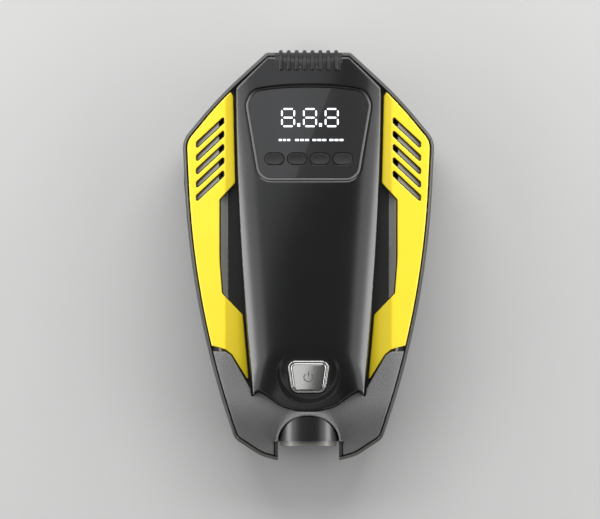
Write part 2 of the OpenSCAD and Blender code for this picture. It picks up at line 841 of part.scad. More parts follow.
module display_bezel() color(shell_grey) {
    intersection() {
        difference() {
            prism(rounded(display_corners), 0, far);
            prism(rounded(display_corners, bezel_t + 0.4), -over, far + over);
            intersection() {
                prism(rounded(display_corners, bezel_t - 0.4), -over, far + over);
                difference() {
                    crowned(spine_profile, 4);
                    crowned(spine_profile, -lens_t);
                }
            }
        }
        difference() {
            crowned(spine_profile, 0.35);
            crowned(spine_profile, -bezel_depth / 2 + seat);
        }
    }
}

module display_lens() color([0.15, 0.15, 0.16, 0.6]) {
    difference() {
        intersection() {
            prism(rounded(display_corners, bezel_t - 0.4 + seat), 0, far);
            difference() {
                crowned(spine_profile, 0);
                crowned(spine_profile, -lens_t + seat);
            }
        }
        for (i = [0 : 3]) translate([key_x(i), key_y, 0]) linear_extrude(far) key_shape(key_gap);
    }
}

module key(i) color(rubber_black) {
    intersection() {
        translate([key_x(i), key_y, key_low_z]) linear_extrude(20) key_shape(0);
        crowned(spine_profile, 0.45);
    }
}
module key_1() key(0);
module key_2() key(1);
module key_3() key(2);
module key_4() key(3);

module key_switches() color(steel) {
    for (i = [0 : 3]) translate([key_x(i), key_y, display_board_z + board_t]) {
        translate([-3, -2.4, 0]) cube([6, 4.8, 3]);
        cylinder(r = 1.7, h = key_low_z - display_board_z - board_t - key_travel - 0.1, $fn = 32);
    }
}

module display_board() color(board_green) {
    prism(rounded(both_sides([
        [display_w / 2 - 6.5, display_top_y - 0.8, 2],
        [display_w / 2 - 6.5, display_top_y - 24.8, 4],
        [display_w / 2 - 9, display_low_y + 2.8, 2]
    ])), display_board_z, display_board_z + board_t);
}

digits_w = display_w * 0.52;
digits_h = display_h * 0.35;
module display_module() color(rubber_black) {
    low_z = display_board_z + board_t;
    digits_y = display_top_y - 8.3;
    box(-digits_w / 2, digits_w / 2, digits_y - digits_h, digits_y, low_z, body_h - 5.8);
}

// ---------------------------------------------------------------- power key

module power_button() color(steel) {
    on_slope() prism(rounded(power_corners), -power_depth, power_top);
}

module power_button_ring() color(steel) {
    on_slope() difference() {
        prism(rounded(power_corners, -power_ring_w - key_gap), -ring_depth, power_top - 0.3);
        prism(rounded(power_corners, -key_gap), -ring_depth - over, power_top + over);
    }
}

module power_switch() color(rubber_black) {
    on_slope() {
        box(-5, 5, -4, 4, -power_depth - travel_room - 3.6, -power_depth - travel_room - 1.2);
        translate([0, 0, -power_depth - travel_room - 1.3]) cylinder(r = 1.7, h = 1.3, $fn = 32);
    }
    // Post down to the main board
    box(-4, 4, power_y - 1.5, power_y + 4.5, main_board_z + board_t, power_z - power_depth - 4);
}
travel_room = power_travel + 0.1;

// ---------------------------------------------------------------- electronics

module main_board() color(board_green) {
    difference() {
        box(-board_x, board_x, board_low_y, board_top_y, main_board_z, main_board_z + board_t);
        box(-12, 12, board_low_y - over, board_low_y + 0.6, 0, far);
    }
}

relay_w = 15;
relay_l = 19;
relay_h = 9.6;
capacitor_r = 4;
capacitor_h = 9;
capacitor_pitch = 11;
module relay() color(rubber_black) translate([-relay_w - 2, -6, main_board_z + board_t])
    cube([relay_w, relay_l, relay_h]);

module capacitors() color(rubber_black) {
    for (i = [0 : 3]) translate([capacitor_pitch, (i - 1.5) * capacitor_pitch - 1.5, main_board_z + board_t])
        cylinder(r = capacitor_r, h = capacitor_h, $fn = 48);
}

module usb_board() color(board_green) {
    box(-side_frame_x + 0.3, usb_board_x, side_port_y - usb_pitch, side_port_y + usb_pitch,
        usb_z - usb_h / 2 - board_t, usb_z - usb_h / 2);
    // Two posts to the rear shell's floor
    for (y = [-1, 1]) translate([usb_mouth_x + usb_l - 1.5, side_port_y + y * (usb_pitch - 3), back_z + wall])
        cylinder(r = 2, h = usb_z - usb_h / 2 - board_t - back_z - wall, $fn = 32);
}

module usb_sockets() color(steel) {
    for (y = usb_places) translate([usb_mouth_x, y, usb_z]) {
        difference() {
            translate([0, -usb_w / 2, -usb_h / 2]) cube([usb_l, usb_w, usb_h]);
            translate([-over, -usb_w / 2 + 0.4, -usb_h / 2 + 0.4]) cube([usb_l - 1, usb_w - 0.8, usb_h - 0.8]);
        }
        translate([2, -5.6, 0.3]) cube([usb_l - 2.5, 11.2, 1.9]);
    }
}

// ---------------------------------------------------------------- battery

cell_low_z = back_z + wall + 1.3;
cell_gap = 0.1;
cell_l = top_y - battery_drop - tip_y - battery_up;
cell_y = tip_y + battery_up + cell_l / 2;
cell_t = (deck_z - wall - cell_room - cell_low_z) / cells - cell_gap;
cell_w = -usb_board_x - cell_x - cell_side;
module cell(i) color([0.2, 0.35, 0.6]) {
    z = cell_low_z + i * (cell_t + cell_gap);
    prism(rounded([
        [-cell_x, cell_y + cell_l / 2, 1.5], [-cell_x, cell_y - cell_l / 2, 1.5],
        [-cell_x - cell_w, cell_y - cell_l / 2, 1.5], [-cell_x - cell_w, cell_y + cell_l / 2, 1.5]
    ]), z, z + cell_t);
}
module cell_1() cell(0);
module cell_2() cell(1);
module cell_3() cell(2);
module cell_4() cell(3);

module battery_tray() color(nylon_white) {
    x0 = -cell_x - cell_w - 0.1;
    x1 = -cell_x + 0.1;
    y0 = cell_y - cell_l / 2 - 0.1;
    y1 = cell_y + cell_l / 2;
    difference() {
        box(x0, x1 + 1.2, y0 - 1.2, y1, back_z + wall, cell_low_z + 12);
        box(x0 - over, x1, y0, y1 + over, cell_low_z, far);
        box(x0 + 8, x1 - 8, y0 + 12, y1 - 12, 0, far);
    }
}

module battery_straps() color(steel) {
    y = cell_y + cell_l / 2;
    pitch = cell_t + cell_gap;
    for (i = [0 : cells - 2]) {
        x = -cell_x - cell_w / 2 + (i % 2 == 0 ? 11 : -11);
        z = cell_low_z + cell_t / 2 + i * pitch;
        box(x - 4, x + 4, y + 0.05, y + 0.65, z - 1, z + pitch + 1);
    }
}

// ---------------------------------------------------------------- pump

pinion_r = tooth_module * pinion_teeth / 2;
gear_r = tooth_module * gear_teeth / 2;
motor_y = crank_y - pinion_r - gear_r - 0.1;
gear_x0 = pump_x + 2.3;
gear_x1 = gear_x0 + 4;
frame_x0 = gear_x1 + 0.4;
frame_x1 = frame_x0 + 2;
motor_x0 = frame_x1 + seat;
motor_x1 = flank_x(motor_y - motor_r) - motor_side;
rod_t = 3.4;
wrist_y = crank_y + rod_l;
wrist_in = 3.5;
eye_r = 2.6;
piston_crown = 2.5;
piston_y0 = wrist_y - wrist_in;
// The rod's small end clears the crown with the crank up and the piston down
piston_l = wrist_in + 2 * crank_throw + eye_r + 0.5 + piston_crown;
block_y0 = crank_y + gear_r + 3.4;
flange_t = 2.2;
block_y1 = piston_y0 + piston_l + crank_throw + 1.5;
// Cooling fins round the cylinder
fins = 6;
fin_pitch = 3.2;
fin_t = 1.2;
head_l = 6;
head_y0 = block_y1 + 0.02;
head_port_x = pump_x + bore_r + 6;
// The outlet is in line with the pump's head
outlet_y = head_y0 + head_l / 2;
pump_floor = back_z + wall;
bore_gap = 0.04;

// Gear blank with straight-flanked teeth, along X
module gear(teeth, x0, x1) {
    r = tooth_module * teeth / 2;
    step = 360 / teeth;
    tip = r + tooth_module * 0.85;
    root = r - tooth_module * 1.15;
    translate([x0, 0, 0]) rotate([90, 0, 90]) linear_extrude(x1 - x0) polygon([
        for (i = [0 : teeth - 1]) each [
            root * [cos(step * (i - 0.32)), sin(step * (i - 0.32))],
            tip * [cos(step * (i - 0.12)), sin(step * (i - 0.12))],
            tip * [cos(step * (i + 0.12)), sin(step * (i + 0.12))],
            root * [cos(step * (i + 0.32)), sin(step * (i + 0.32))]
        ]
    ]);
}

module at_pump(y) {
    translate([0, y, pump_z]) children();
}

module motor_can() color(steel) at_pump(motor_y) {
    difference() {
        rod_x(motor_r, motor_x0, motor_x1);
        rod_x(motor_r - 1, motor_x0 + 1.5, motor_x1 + over);
        rod_x(motor_shaft_r + 0.04, motor_x0 - over, motor_x0 + 3);
    }
}

module motor_endcap() color(nylon_white) at_pump(motor_y) {
    rod_x(motor_r - 1 - seat, motor_x1 - 3, motor_x1 + 0.5);
    rod_x(motor_r - 0.5, motor_x1, motor_x1 + 1.6);
}

module motor_pinion() color(brass_tone) at_pump(motor_y) {
    gear(pinion_teeth, gear_x0, gear_x1);
    rod_x(motor_shaft_r, gear_x0, motor_x1 - 3.3);
    rod_x(motor_r - 2.5, motor_x0 + 5, motor_x1 - 5);
}

module crank_gear() color(nylon_white) at_pump(crank_y) {
    difference() {
        gear(gear_teeth, gear_x0, gear_x1);
        rod_x(2 + 0.03, gear_x0 - over, gear_x1 + over);
        for (a = [60 : 60 : 300]) rotate([a, 0, 0]) translate([0, 0, gear_r * 0.66])
            rod_x(2.4, gear_x0 - over, gear_x1 + over);
    }
    translate([0, 0, crank_throw]) rod_x(1.8, pump_x - rod_t / 2 - 0.6, gear_x0 + 0.5);
}

module connecting_rod() color(steel) translate([0, crank_y, pump_z + crank_throw]) difference() {
    union() {
        rod_x(3.6, pump_x - rod_t / 2, pump_x + rod_t / 2);
        translate([0, rod_l, 0]) rod_x(eye_r, pump_x - rod_t / 2, pump_x + rod_t / 2);
        box(pump_x - 1.2, pump_x + 1.2, 2, rod_l - 1.5, -1.6, 1.6);
    }
    rod_x(1.8 + 0.05, pump_x - 5, pump_x + 5);
    translate([0, rod_l, 0]) rod_x(1.2, pump_x - 5, pump_x + 5);
}

module piston() color(nylon_white) translate([pump_x, 0, pump_z]) difference() {
    rod_y(bore_r - bore_gap, piston_y0, piston_y0 + piston_l);
    rod_y(bore_r - 1.3, piston_y0 - over, piston_y0 + piston_l - piston_crown);
    difference() {
        rod_y(bore_r + over, piston_y0 + piston_l - 1.9, piston_y0 + piston_l - 0.7);
        rod_y(bore_r - 0.9, piston_y0 + piston_l - 2, piston_y0 + piston_l);
    }
}

module piston_seal() color(rubber_black) translate([pump_x, 0, pump_z]) difference() {
    rod_y(bore_r - bore_gap, piston_y0 + piston_l - 1.88, piston_y0 + piston_l - 0.72);
    rod_y(bore_r - 0.88, piston_y0 + piston_l - 3, piston_y0 + piston_l);
}

module cylinder_block() color(steel) translate([pump_x, 0, pump_z]) difference() {
    union() {
        rod_y(bore_r + 1.6, block_y0, block_y1);
        for (k = [0 : fins - 1])
            rod_y(bore_r + 3, block_y1 - 2 - k * fin_pitch, block_y1 - 2 + fin_t - k * fin_pitch);
    }
    rod_y(bore_r, block_y0 - over, block_y1 + over);
}

module cylinder_head() color(steel) difference() {
    union() {
        translate([pump_x, 0, pump_z]) rod_y(bore_r + 3, head_y0, head_y0 + head_l);
        translate([0, outlet_y, outlet_z]) rod_x(2.8, pump_x + bore_r - 2, head_port_x);
    }
    translate([pump_x, 0, pump_z]) rod_y(bore_r - 1, head_y0 - over, head_y0 + 1.5);
    // Air way from the bore to the port
    translate([pump_x + 1, 0, outlet_z]) rod_y(1.2, head_y0, outlet_y);
    translate([0, outlet_y, outlet_z]) rod_x(1.2, pump_x, head_port_x + over);
}

module pump_frame() color(steel) {
    difference() {
        union() {
            box(frame_x0, frame_x1, motor_y - motor_r, block_y0 - 0.02, pump_floor, pump_z + motor_r);
            box(pump_x - bore_r - 3, frame_x1, block_y0 - flange_t, block_y0 - 0.02,
                pump_floor, pump_z + motor_r);
        }
        at_pump(motor_y) rod_x(motor_shaft_r + 1, 0, far);
        translate([pump_x, 0, pump_z]) rod_y(bore_r + 0.3, 0, far);
    }
    at_pump(crank_y) rod_x(2, gear_x0 + 0.2, frame_x0 + over);
}

// Hose from the head's port to the side fitting
module air_tube() color(rubber_black) translate([0, outlet_y, outlet_z]) difference() {
    rod_x(2.6, head_port_x + seat, outlet_seat_x - 5.5 - seat);
    rod_x(1.2, 0, far);
}

module air_outlet() color(brass_tone) translate([0, outlet_y, outlet_z]) difference() {
    union() {
        rod_x(outlet_r, outlet_seat_x - 3, outlet_seat_x);
        rod_x(outlet_r - 0.6, outlet_seat_x - 1, outlet_seat_x + outlet_undercut + 1);
        rod_x(outlet_r, outlet_seat_x + outlet_undercut, outlet_seat_x + outlet_undercut + outlet_l);
        rotate([30, 0, 0]) translate([outlet_seat_x - 5.5, 0, 0]) rotate([0, 90, 0])
            cylinder(r = 6.4, h = 2.95, $fn = 6);
    }
    rod_x(1.5, 0, far);
}

// ---------------------------------------------------------------- top port

module jump_socket() color([0.1, 0.2, 0.5]) {
    difference() {
        box(-socket_w / 2, socket_w / 2, flap_floor_y - socket_l, flap_floor_y - 0.3,
            socket_z - socket_h / 2, socket_z + socket_h / 2);
        for (s = [-1, 1]) translate([s * contact_pitch / 2, 0, socket_z])
            rod_y(contact_r, flap_floor_y - socket_l + 3, far);
    }
}

module socket_contacts() color(brass_tone) {
    for (s = [-1, 1]) translate([s * contact_pitch / 2, 0, socket_z]) difference() {
        rod_y(contact_r - 0.03, flap_floor_y - socket_l + 3.02, flap_floor_y - 1.5);
        rod_y(contact_r - 0.7, flap_floor_y - socket_l + 5, far);
    }
}

module jump_port_cover() color(rubber_black) {
    port_room(0, flap_t);
    // Grip ribs, running over the top edge
    for (i = [0 : ribs - 1]) {
        x = (i - (ribs - 1) / 2) * rib_pitch;
        intersection() {
            difference() {
                port_side(rib_h);
                port_side(-flap_t / 2);
            }
            box(x - rib_w / 2, x + rib_w / 2, top_y - port_lip + 0.5, far, port_hinge_z + 3, far);
        }
    }
}

module side_port_cover() color(rubber_black) {
    intersection() {
        difference() {
            back_core(0, back_z);
            back_core(flap_t, back_z + wall, over);
        }
        side_room(0, side_flap_z, side_flap_top_z);
    }
}

// ---------------------------------------------------------------- lamp

module torch_barrel() color(gloss_black) translate([0, 0, lamp_z]) difference() {
    union() {
        rod_y(lamp_r, mouth_y, mouth_y + lamp_l);
        rod_y(lamp_neck_r, mouth_y + lamp_l - over, mouth_y + lamp_l + lamp_neck_l);
    }
    rod_y(lamp_r - 2.2, mouth_y - over, mouth_y + lamp_l - 2);
    rod_y(2, mouth_y, mouth_y + lamp_l + lamp_neck_l + over);
}

module torch_ring() color(gloss_black) translate([0, 0, lamp_z]) difference() {
    rod_y(lamp_ring_r, mouth_y - lamp_ring_l, mouth_y);
    rod_y(lamp_r - 4, mouth_y - lamp_ring_l - over, mouth_y + over);
}

module torch_lens() color([0.8, 0.85, 0.9, 0.5]) translate([0, 0, lamp_z])
    rod_y(lamp_r - 4 - seat, mouth_y - 1.6, mouth_y - 0.1);

reflector_l = 8;
module torch_reflector() color(steel) translate([0, mouth_y + 0.1, lamp_z]) rotate([-90, 0, 0])
    rotate_extrude($fn = 96) polygon([
        for (k = [0 : 8]) [3 + (lamp_r - 2.3 - 3) * sqrt(1 - k / 8), reflector_l * k / 8],
        [2.2, reflector_l],
        for (k = [8 : -1 : 0]) [2.2 + (lamp_r - 3.2 - 2.2) * sqrt(1 - k / 8), (reflector_l - 0.8) * k / 8]
    ]);

module torch_led() color([1, 0.95, 0.6]) translate([0, 0, lamp_z])
    rod_y(2, mouth_y + reflector_l - 1.5, mouth_y + lamp_l - 1.5);

// ---------------------------------------------------------------- one line per node

rear_shell();
front_shell();
spine_cover();
left_side_panel();
right_side_panel();
lower_bumper();
rubber_feet();
rear_screws();
display_bezel();
display_lens();
display_board();
display_module();
key_1();
key_2();
key_3();
key_4();
key_switches();
power_button();
power_button_ring();
power_switch();
main_board();
relay();
capacitors();
usb_board();
usb_sockets();
cell_1();
cell_2();
cell_3();
cell_4();
battery_tray();
battery_straps();
motor_can();
motor_endcap();
motor_pinion();
crank_gear();
connecting_rod();
piston();
piston_seal();
cylinder_block();
cylinder_head();
pump_frame();
air_tube();
air_outlet();
jump_socket();
socket_contacts();
jump_port_cover();
side_port_cover();
torch_barrel();
torch_ring();
torch_lens();
torch_reflector();
torch_led();
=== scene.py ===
import math

import bpy
import numpy as np
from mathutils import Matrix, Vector
from mathutils.geometry import delaunay_2d_cdt


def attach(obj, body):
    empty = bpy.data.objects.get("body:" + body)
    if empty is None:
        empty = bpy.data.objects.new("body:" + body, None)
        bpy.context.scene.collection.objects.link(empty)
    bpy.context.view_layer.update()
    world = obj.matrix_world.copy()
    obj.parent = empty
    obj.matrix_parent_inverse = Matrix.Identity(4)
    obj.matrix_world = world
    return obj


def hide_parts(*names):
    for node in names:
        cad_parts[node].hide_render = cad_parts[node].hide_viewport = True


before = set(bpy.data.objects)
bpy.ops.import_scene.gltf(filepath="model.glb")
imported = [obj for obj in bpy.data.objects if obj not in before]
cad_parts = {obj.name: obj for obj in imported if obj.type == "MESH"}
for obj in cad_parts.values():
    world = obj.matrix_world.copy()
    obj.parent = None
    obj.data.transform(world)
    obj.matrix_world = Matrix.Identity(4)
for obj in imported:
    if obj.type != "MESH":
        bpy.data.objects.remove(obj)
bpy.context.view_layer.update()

# ---------------------------------------------------------------- table, lights and camera
# A plain pale table under soft studio light. The pack lies on its back and the camera looks
# straight down on its front. Pieces are measured in millimetres, the studio in metres.
MM = 0.001


def linear(hexed):
    """An sRGB hex colour as the linear colour that a shader takes."""
    parts = [int(hexed[i : i + 2], 16) / 255 for i in (0, 2, 4)]
    return [c / 12.92 if c <= 0.04045 else ((c + 0.055) / 1.055) ** 2.4 for c in parts] + [1.0]


def add(tree, kind, sockets=None, **settings):
    """Adds a shader node: settings are its own, sockets take a value or another node's output."""
    made = tree.nodes.new("ShaderNode" + kind)
    for name, value in settings.items():
        setattr(made, name, value)
    for name, value in (sockets or {}).items():
        if isinstance(value, bpy.types.NodeSocket):
            tree.links.new(value, made.inputs[name])
        else:
            made.inputs[name].default_value = value
    return made


def moulded(name, hexed, roughness, grain_mm, depth_mm, shade=0.12, edge_mm=0.0, **shader):
    """Moulded or coated material: a colour that drifts a little, and the grain that the tool or the
    roller left. Grain and depth are real sizes where no comment says otherwise."""
    drift_mm = 22
    made = bpy.data.materials.new(name)
    made.use_nodes = True
    tree = made.node_tree
    tree.nodes.clear()
    place = add(tree, "TexCoord").outputs["Object"]
    drift, grain = (
        add(tree, "TexNoise", {"Vector": place, "Scale": 1 / (patch * MM), "Detail": detail}).outputs["Fac"]
        for patch, detail in ((drift_mm, 3.0), (grain_mm, 2.0))
    )
    base = linear(hexed)
    colour = add(tree, "MixRGB", {
        "Fac": drift,
        "Color1": [c * (1 - shade) for c in base[:3]] + [1.0],
        "Color2": [min(1.0, c * (1 + shade)) for c in base[:3]] + [1.0],
    }).outputs["Color"]
    gloss = add(tree, "MapRange", {
        "Value": drift, "From Min": 0.3, "From Max": 0.7,
        "To Min": roughness * 0.9, "To Max": roughness * 1.1,
    }).outputs["Result"]
    bump = {"Height": grain, "Strength": 1.0, "Distance": depth_mm * MM}
    if edge_mm:
        bump["Normal"] = add(tree, "Bevel", {"Radius": edge_mm * MM}, samples=6).outputs["Normal"]
    normal = add(tree, "Bump", bump).outputs["Normal"]
    sockets = {"Base Color": colour, "Roughness": gloss, "Normal": normal}
    sockets.update({key.replace("_", " "): value for key, value in shader.items()})
    surface = add(tree, "BsdfPrincipled", sockets)
    add(tree, "OutputMaterial", {"Surface": surface.outputs["BSDF"]})
    return made


table_half = 2.0
table = bpy.data.objects.new("table", bpy.data.meshes.new("table"))
table_corners = [(-table_half, -table_half, 0), (table_half, -table_half, 0),
                 (table_half, table_half, 0), (-table_half, table_half, 0)]
table.data.from_pydata(table_corners, [], [(0, 1, 2, 3)])
# Matt wall paint: an even pale ground that takes soft shadows and shows no mirror image
table.data.materials.append(moulded("painted_table", "c3c3c2", 0.75, 1.5, 0.02, shade=0.01))
bpy.context.scene.collection.objects.link(table)

sky = bpy.data.worlds.new("studio")
sky.use_nodes = True
sky_light = sky.node_tree.nodes["Background"].inputs
sky_light["Color"].default_value = linear("f2f4f6")
sky_light["Strength"].default_value = 0.15
bpy.context.scene.world = sky


def softbox(name, where, aim, size, watts):
    """A soft rectangular lamp, seen by the gloss as a panel."""
    lamp = bpy.data.lights.new(name, "AREA")
    lamp.shape = "RECTANGLE"
    lamp.size, lamp.size_y = size
    lamp.energy = watts
    made = bpy.data.objects.new(name, lamp)
    made.location = where
    made.rotation_euler = (Vector(aim) - Vector(where)).to_track_quat("-Z", "Y").to_euler()
    made.visible_camera = False
    bpy.context.scene.collection.objects.link(made)
    return made


# Panels at both sides, low and high, light the steep shoulders; one beyond the top end lights the
# covers. Each has its place, the point it faces, its width and height, and its watts.
for side, name in ((-1, "left"), (1, "right")):
    softbox(name + "_low_panel", (side * 0.62, 0.0, 0.14), (0, 0, 0.05), (1.2, 0.24), 4.5)
    softbox(name + "_high_panel", (side * 0.6, 0.0, 0.42), (0, 0, 0.05), (1.2, 0.3), 1.25)
softbox("top_panel", (0.0, 0.9, 0.8), (0, 0, 0.03), (1.4, 0.6), 15)


def card(name, corners, hexed, strength):
    """A dim glowing card that only the gloss of the pieces shows."""
    made = bpy.data.objects.new(name, bpy.data.meshes.new(name))
    made.data.from_pydata(corners, [], [(0, 1, 2, 3)])
    glow = bpy.data.materials.new(name)
    glow.use_nodes = True
    tree = glow.node_tree
    tree.nodes.clear()
    place = add(tree, "TexCoord").outputs["Object"]
    cloud = add(tree, "TexNoise", {"Vector": place, "Scale": 4.0}).outputs["Fac"]
    power = add(tree, "MapRange", {"Value": cloud, "To Min": strength * 0.85, "To Max": strength * 1.15})
    light = add(tree, "Emission", {"Color": linear(hexed), "Strength": power.outputs["Result"]})
    add(tree, "OutputMaterial", {"Surface": light.outputs["Emission"]})
    made.data.materials.append(glow)
    made.visible_camera = made.visible_diffuse = made.visible_shadow = False
    bpy.context.scene.collection.objects.link(made)


# The window mirrors the slanting edge of the first card. The power key mirrors the other two, a
# bright one and a nearly black flag, which share an edge.
card("window_card", [(-0.72, -0.09, 0.8), (0.26, 0.197, 0.8), (0.26, 0.6, 0.8), (-0.72, 0.6, 0.8)],
     "f4f6fa", 0.75)
flag_edge = [(-0.0151, -0.38, 0.22), (0.0199, -0.34, 0.5)]
card("key_card", [(-0.05, -0.38, 0.22), *flag_edge, (-0.05, -0.34, 0.5)], "ffffff", 0.85)
card("dark_flag", [flag_edge[0], (0.35, -0.38, 0.22), (0.35, -0.34, 0.5), flag_edge[1]], "ffffff", 0.05)

# The camera looks straight down, square to the front and without perspective
camera = bpy.data.objects.new("camera", bpy.data.cameras.new("camera"))
camera.data.type = "ORTHO"
camera.data.ortho_scale = 0.3
camera.data.clip_end = 5
camera.location = (-0.00425, -0.00225, 2.0)
bpy.context.scene.collection.objects.link(camera)
bpy.context.scene.camera = camera
bpy.context.scene.view_settings.view_transform = "Standard"

# ---------------------------------------------------------------- rear shell
# Rear half of the housing: injection-moulded ABS with a fine spark-eroded texture, rounded at the
# back, with a notch for the lamp, a pocket for each port and eight sunk screws.
body_l, body_w, body_h = 205.0, 125.5, 58.0
rib_h = 1.3
half_w = body_w / 2
tip_y, top_y = -body_l / 2, body_l / 2 - rib_h
shoulder_y = 57.4
seam_z, back_z, wall = 24.0, 1.5, 2.5
# How far the wall leans in from the seam to the back, and from the seam to the front
back_in, front_in = 9.0, 3.6
lamp_r, lamp_z, lamp_l, mouth_y = 15.0, 30.5, 12.0, tip_y + 9.5
lamp_neck_r, lamp_neck_l, lamp_gap = 8.5, 8.0, 0.25
# Spark-eroded ABS: a dark skin with a broad, dull highlight and edges that catch a thin light. The
# real texture is about 0.2 mm fine; it is drawn at 0.55 mm so that it shows.
satin_abs = moulded("satin_black_abs", "1c1c1c", 0.42, 0.55, 0.035, shade=0.06, edge_mm=0.2)


def both_sides(half):
    """The right half of an outline, from the top down, with its mirror image."""
    return half + [(-x, y, r) for x, y, r in reversed(half)]


def rounded(corners, inset=0.0, chord=0.012):
    """Clockwise outline with each corner (x, y, radius) rounded, moved in by the inset."""
    made = []
    for i, (x, y, radius) in enumerate(corners):
        a, b, e = (np.array(corners[k][:2], float) for k in (i - 1, i, (i + 1) % len(corners)))
        u, v = (a - b) / np.linalg.norm(a - b), (e - b) / np.linalg.norm(e - b)
        half = math.acos(max(-1, min(1, u @ v))) / 2
        side = 1 if (b - a)[0] * (e - b)[1] - (b - a)[1] * (e - b)[0] < 0 else -1
        mid = (u + v) / np.linalg.norm(u + v)
        r = max(radius - side * inset, 0.02)
        corner = b + mid * side * inset / math.sin(half)
        centre = corner + mid * r / math.sin(half)
        start, end = (corner + w * r / math.tan(half) - centre for w in (u, v))
        angle = math.atan2(start[1], start[0])
        sweep = math.atan2(start[0] * end[1] - start[1] * end[0], start @ end)
        widest = 2 * math.acos(1 - min(0.5, chord / max(radius, 0.1)))
        steps = max(1, math.ceil((math.pi - 2 * half) / widest))
        turns = [angle + sweep * k / steps for k in range(steps + 1)]
        made += [centre + r * np.array([math.cos(t), math.sin(t)]) for t in turns]
    return np.array(made)


body_corners = both_sides([
    (21, top_y, 3), (half_w - 17.7, shoulder_y + 21.8, 200), (half_w + 0.24, shoulder_y, 12),
    (half_w - 3.85, tip_y + 74.7, 440), (half_w - 25.8, tip_y + 10.6, 7), (lamp_r + 8.95, tip_y + 2.1, 18),
    (lamp_r + 1.45, tip_y, 1.8),
])


def wall_in(z):
    """How far the wall stands in from the widest line at height z."""
    z = np.asarray(z, float)
    below = np.clip(seam_z - z, 0, None) / (seam_z - back_z)
    above = np.clip(z - seam_z, 0, None) / (body_h - seam_z)
    return np.where(z < seam_z, back_in * (1 - np.sqrt(np.clip(1 - below**2, 0, 1))), front_in * above**2)


# Points of the outline, and how each moves for every millimetre that the wall stands in
edge_points = rounded(body_corners)
edge_moves = rounded(body_corners, 1.0) - edge_points


def ring(inset, z):
    """The outline at an inset and a height, each one number or one per point."""
    inset, z = (np.broadcast_to(value, len(edge_points)) for value in (inset, z))
    return np.column_stack([edge_points + edge_moves * inset[:, None], z])


def shade(piece, angle=35):
    """Smooth shading, with the edges sharper than the angle kept."""
    piece.data.shade_smooth()
    piece.data.set_sharp_from_angle(angle=math.radians(angle))


def build(name, points, faces):
    """A mesh object from points in millimetres."""
    mesh = bpy.data.meshes.new(name)
    mesh.from_pydata((np.asarray(points, float) * MM).tolist(), [], [list(map(int, f)) for f in faces])
    mesh.validate()
    made = bpy.data.objects.new(name, mesh)
    bpy.context.scene.collection.objects.link(made)
    shade(made)
    return made


def loft(name, rings, floor=True, roof=True):
    """Skin through rings of equal length, the lowest first, each clockwise from above."""
    n = len(rings[0])
    faces = [(i * n + j, i * n + (j + 1) % n, (i + 1) * n + (j + 1) % n, (i + 1) * n + j)
             for i in range(len(rings) - 1) for j in range(n)]
    faces = [f[::-1] for f in faces]
    if floor:
        faces.append(list(range(n)))
    if roof:
        faces.append([(len(rings) - 1) * n + j for j in range(n - 1, -1, -1)])
    return build(name, np.concatenate(rings), faces)


def prism(loop, z0, z1):
    """Cutter: an outline drawn up from z0 to z1."""
    loop = np.asarray(loop, float)[:, :2]
    return loft("cutter", [np.column_stack([loop, np.full(len(loop), z)]) for z in (z0, z1)])


def block(x0, x1, y0, y1, z0, z1):
    """Cutter: a box."""
    return prism([(x0, y0), (x0, y1), (x1, y1), (x1, y0)], z0, z1)


def rod(radius, start, end, sides=128):
    """Cutter or pin: a cylinder between two points."""
    start, end = Vector(start), Vector(end)
    turn = (end - start).to_track_quat("Z", "X")
    circle = [turn @ Vector((radius * math.cos(t), radius * math.sin(t), 0))
              for t in (-2 * math.pi * k / sides for k in range(sides))]
    return loft("cutter", [np.array([tuple(middle + c) for c in circle]) for middle in (start, end)])


def carve(piece, *cutters):
    """Takes the cutters out of a piece, one after the other."""
    for cutter in cutters:
        modifier = piece.modifiers.new("cut", "BOOLEAN")
        modifier.operation, modifier.solver, modifier.object = "DIFFERENCE", "MANIFOLD", cutter
    bpy.context.view_layer.update()
    cut = bpy.data.meshes.new_from_object(piece.evaluated_get(bpy.context.evaluated_depsgraph_get()))
    piece.modifiers.clear()
    piece.data = cut
    for cutter in cutters:
        bpy.data.objects.remove(cutter)
    shade(piece)


def dress(piece, finish, slot, body, *nodes):
    """Gives a piece its finish, the body that it moves with and the CAD nodes that it stands for."""
    piece.data.materials.clear()
    piece.data.materials.append(finish)
    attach(piece, body)
    if nodes:
        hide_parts(*nodes)
    return piece


# Cutters run out to here, past the housing on every side
past = 90.0


def lamp_room():
    """Cutters of the lamp's seat and of the open notch before it."""
    r, start_y, seat_y = lamp_r + lamp_gap, tip_y - 30, mouth_y + lamp_l + lamp_gap
    return [
        rod(r, (0, start_y, lamp_z), (0, seat_y, lamp_z)),
        rod(lamp_neck_r + lamp_gap, (0, tip_y, lamp_z), (0, seat_y + lamp_neck_l, lamp_z)),
        block(-r, r, start_y, mouth_y, -10, lamp_z),
        block(-r, r, start_y, mouth_y, lamp_z - 1, past),
    ]


seam_groove = 0.3
screw_seat_r, screw_seat_t, foot_seat_r, foot_seat_t = 3.1, 3.2, 6.05, 1
outlet_y, outlet_z, outlet_r, outlet_l = 36.22, 15.0, 3.85, 8.0
nut_room_r = 7.6
outlet_seat_x = half_w - outlet_l - 2.2
screw_half = [(47, shoulder_y - 0.4), (37, -52.5), (26.6, -84), (25.5, 82)]
screw_places = screw_half + [(-x, y) for x, y in screw_half]
foot_places = [(35, 58), (-35, 58), (25, -66), (-25, -66)]

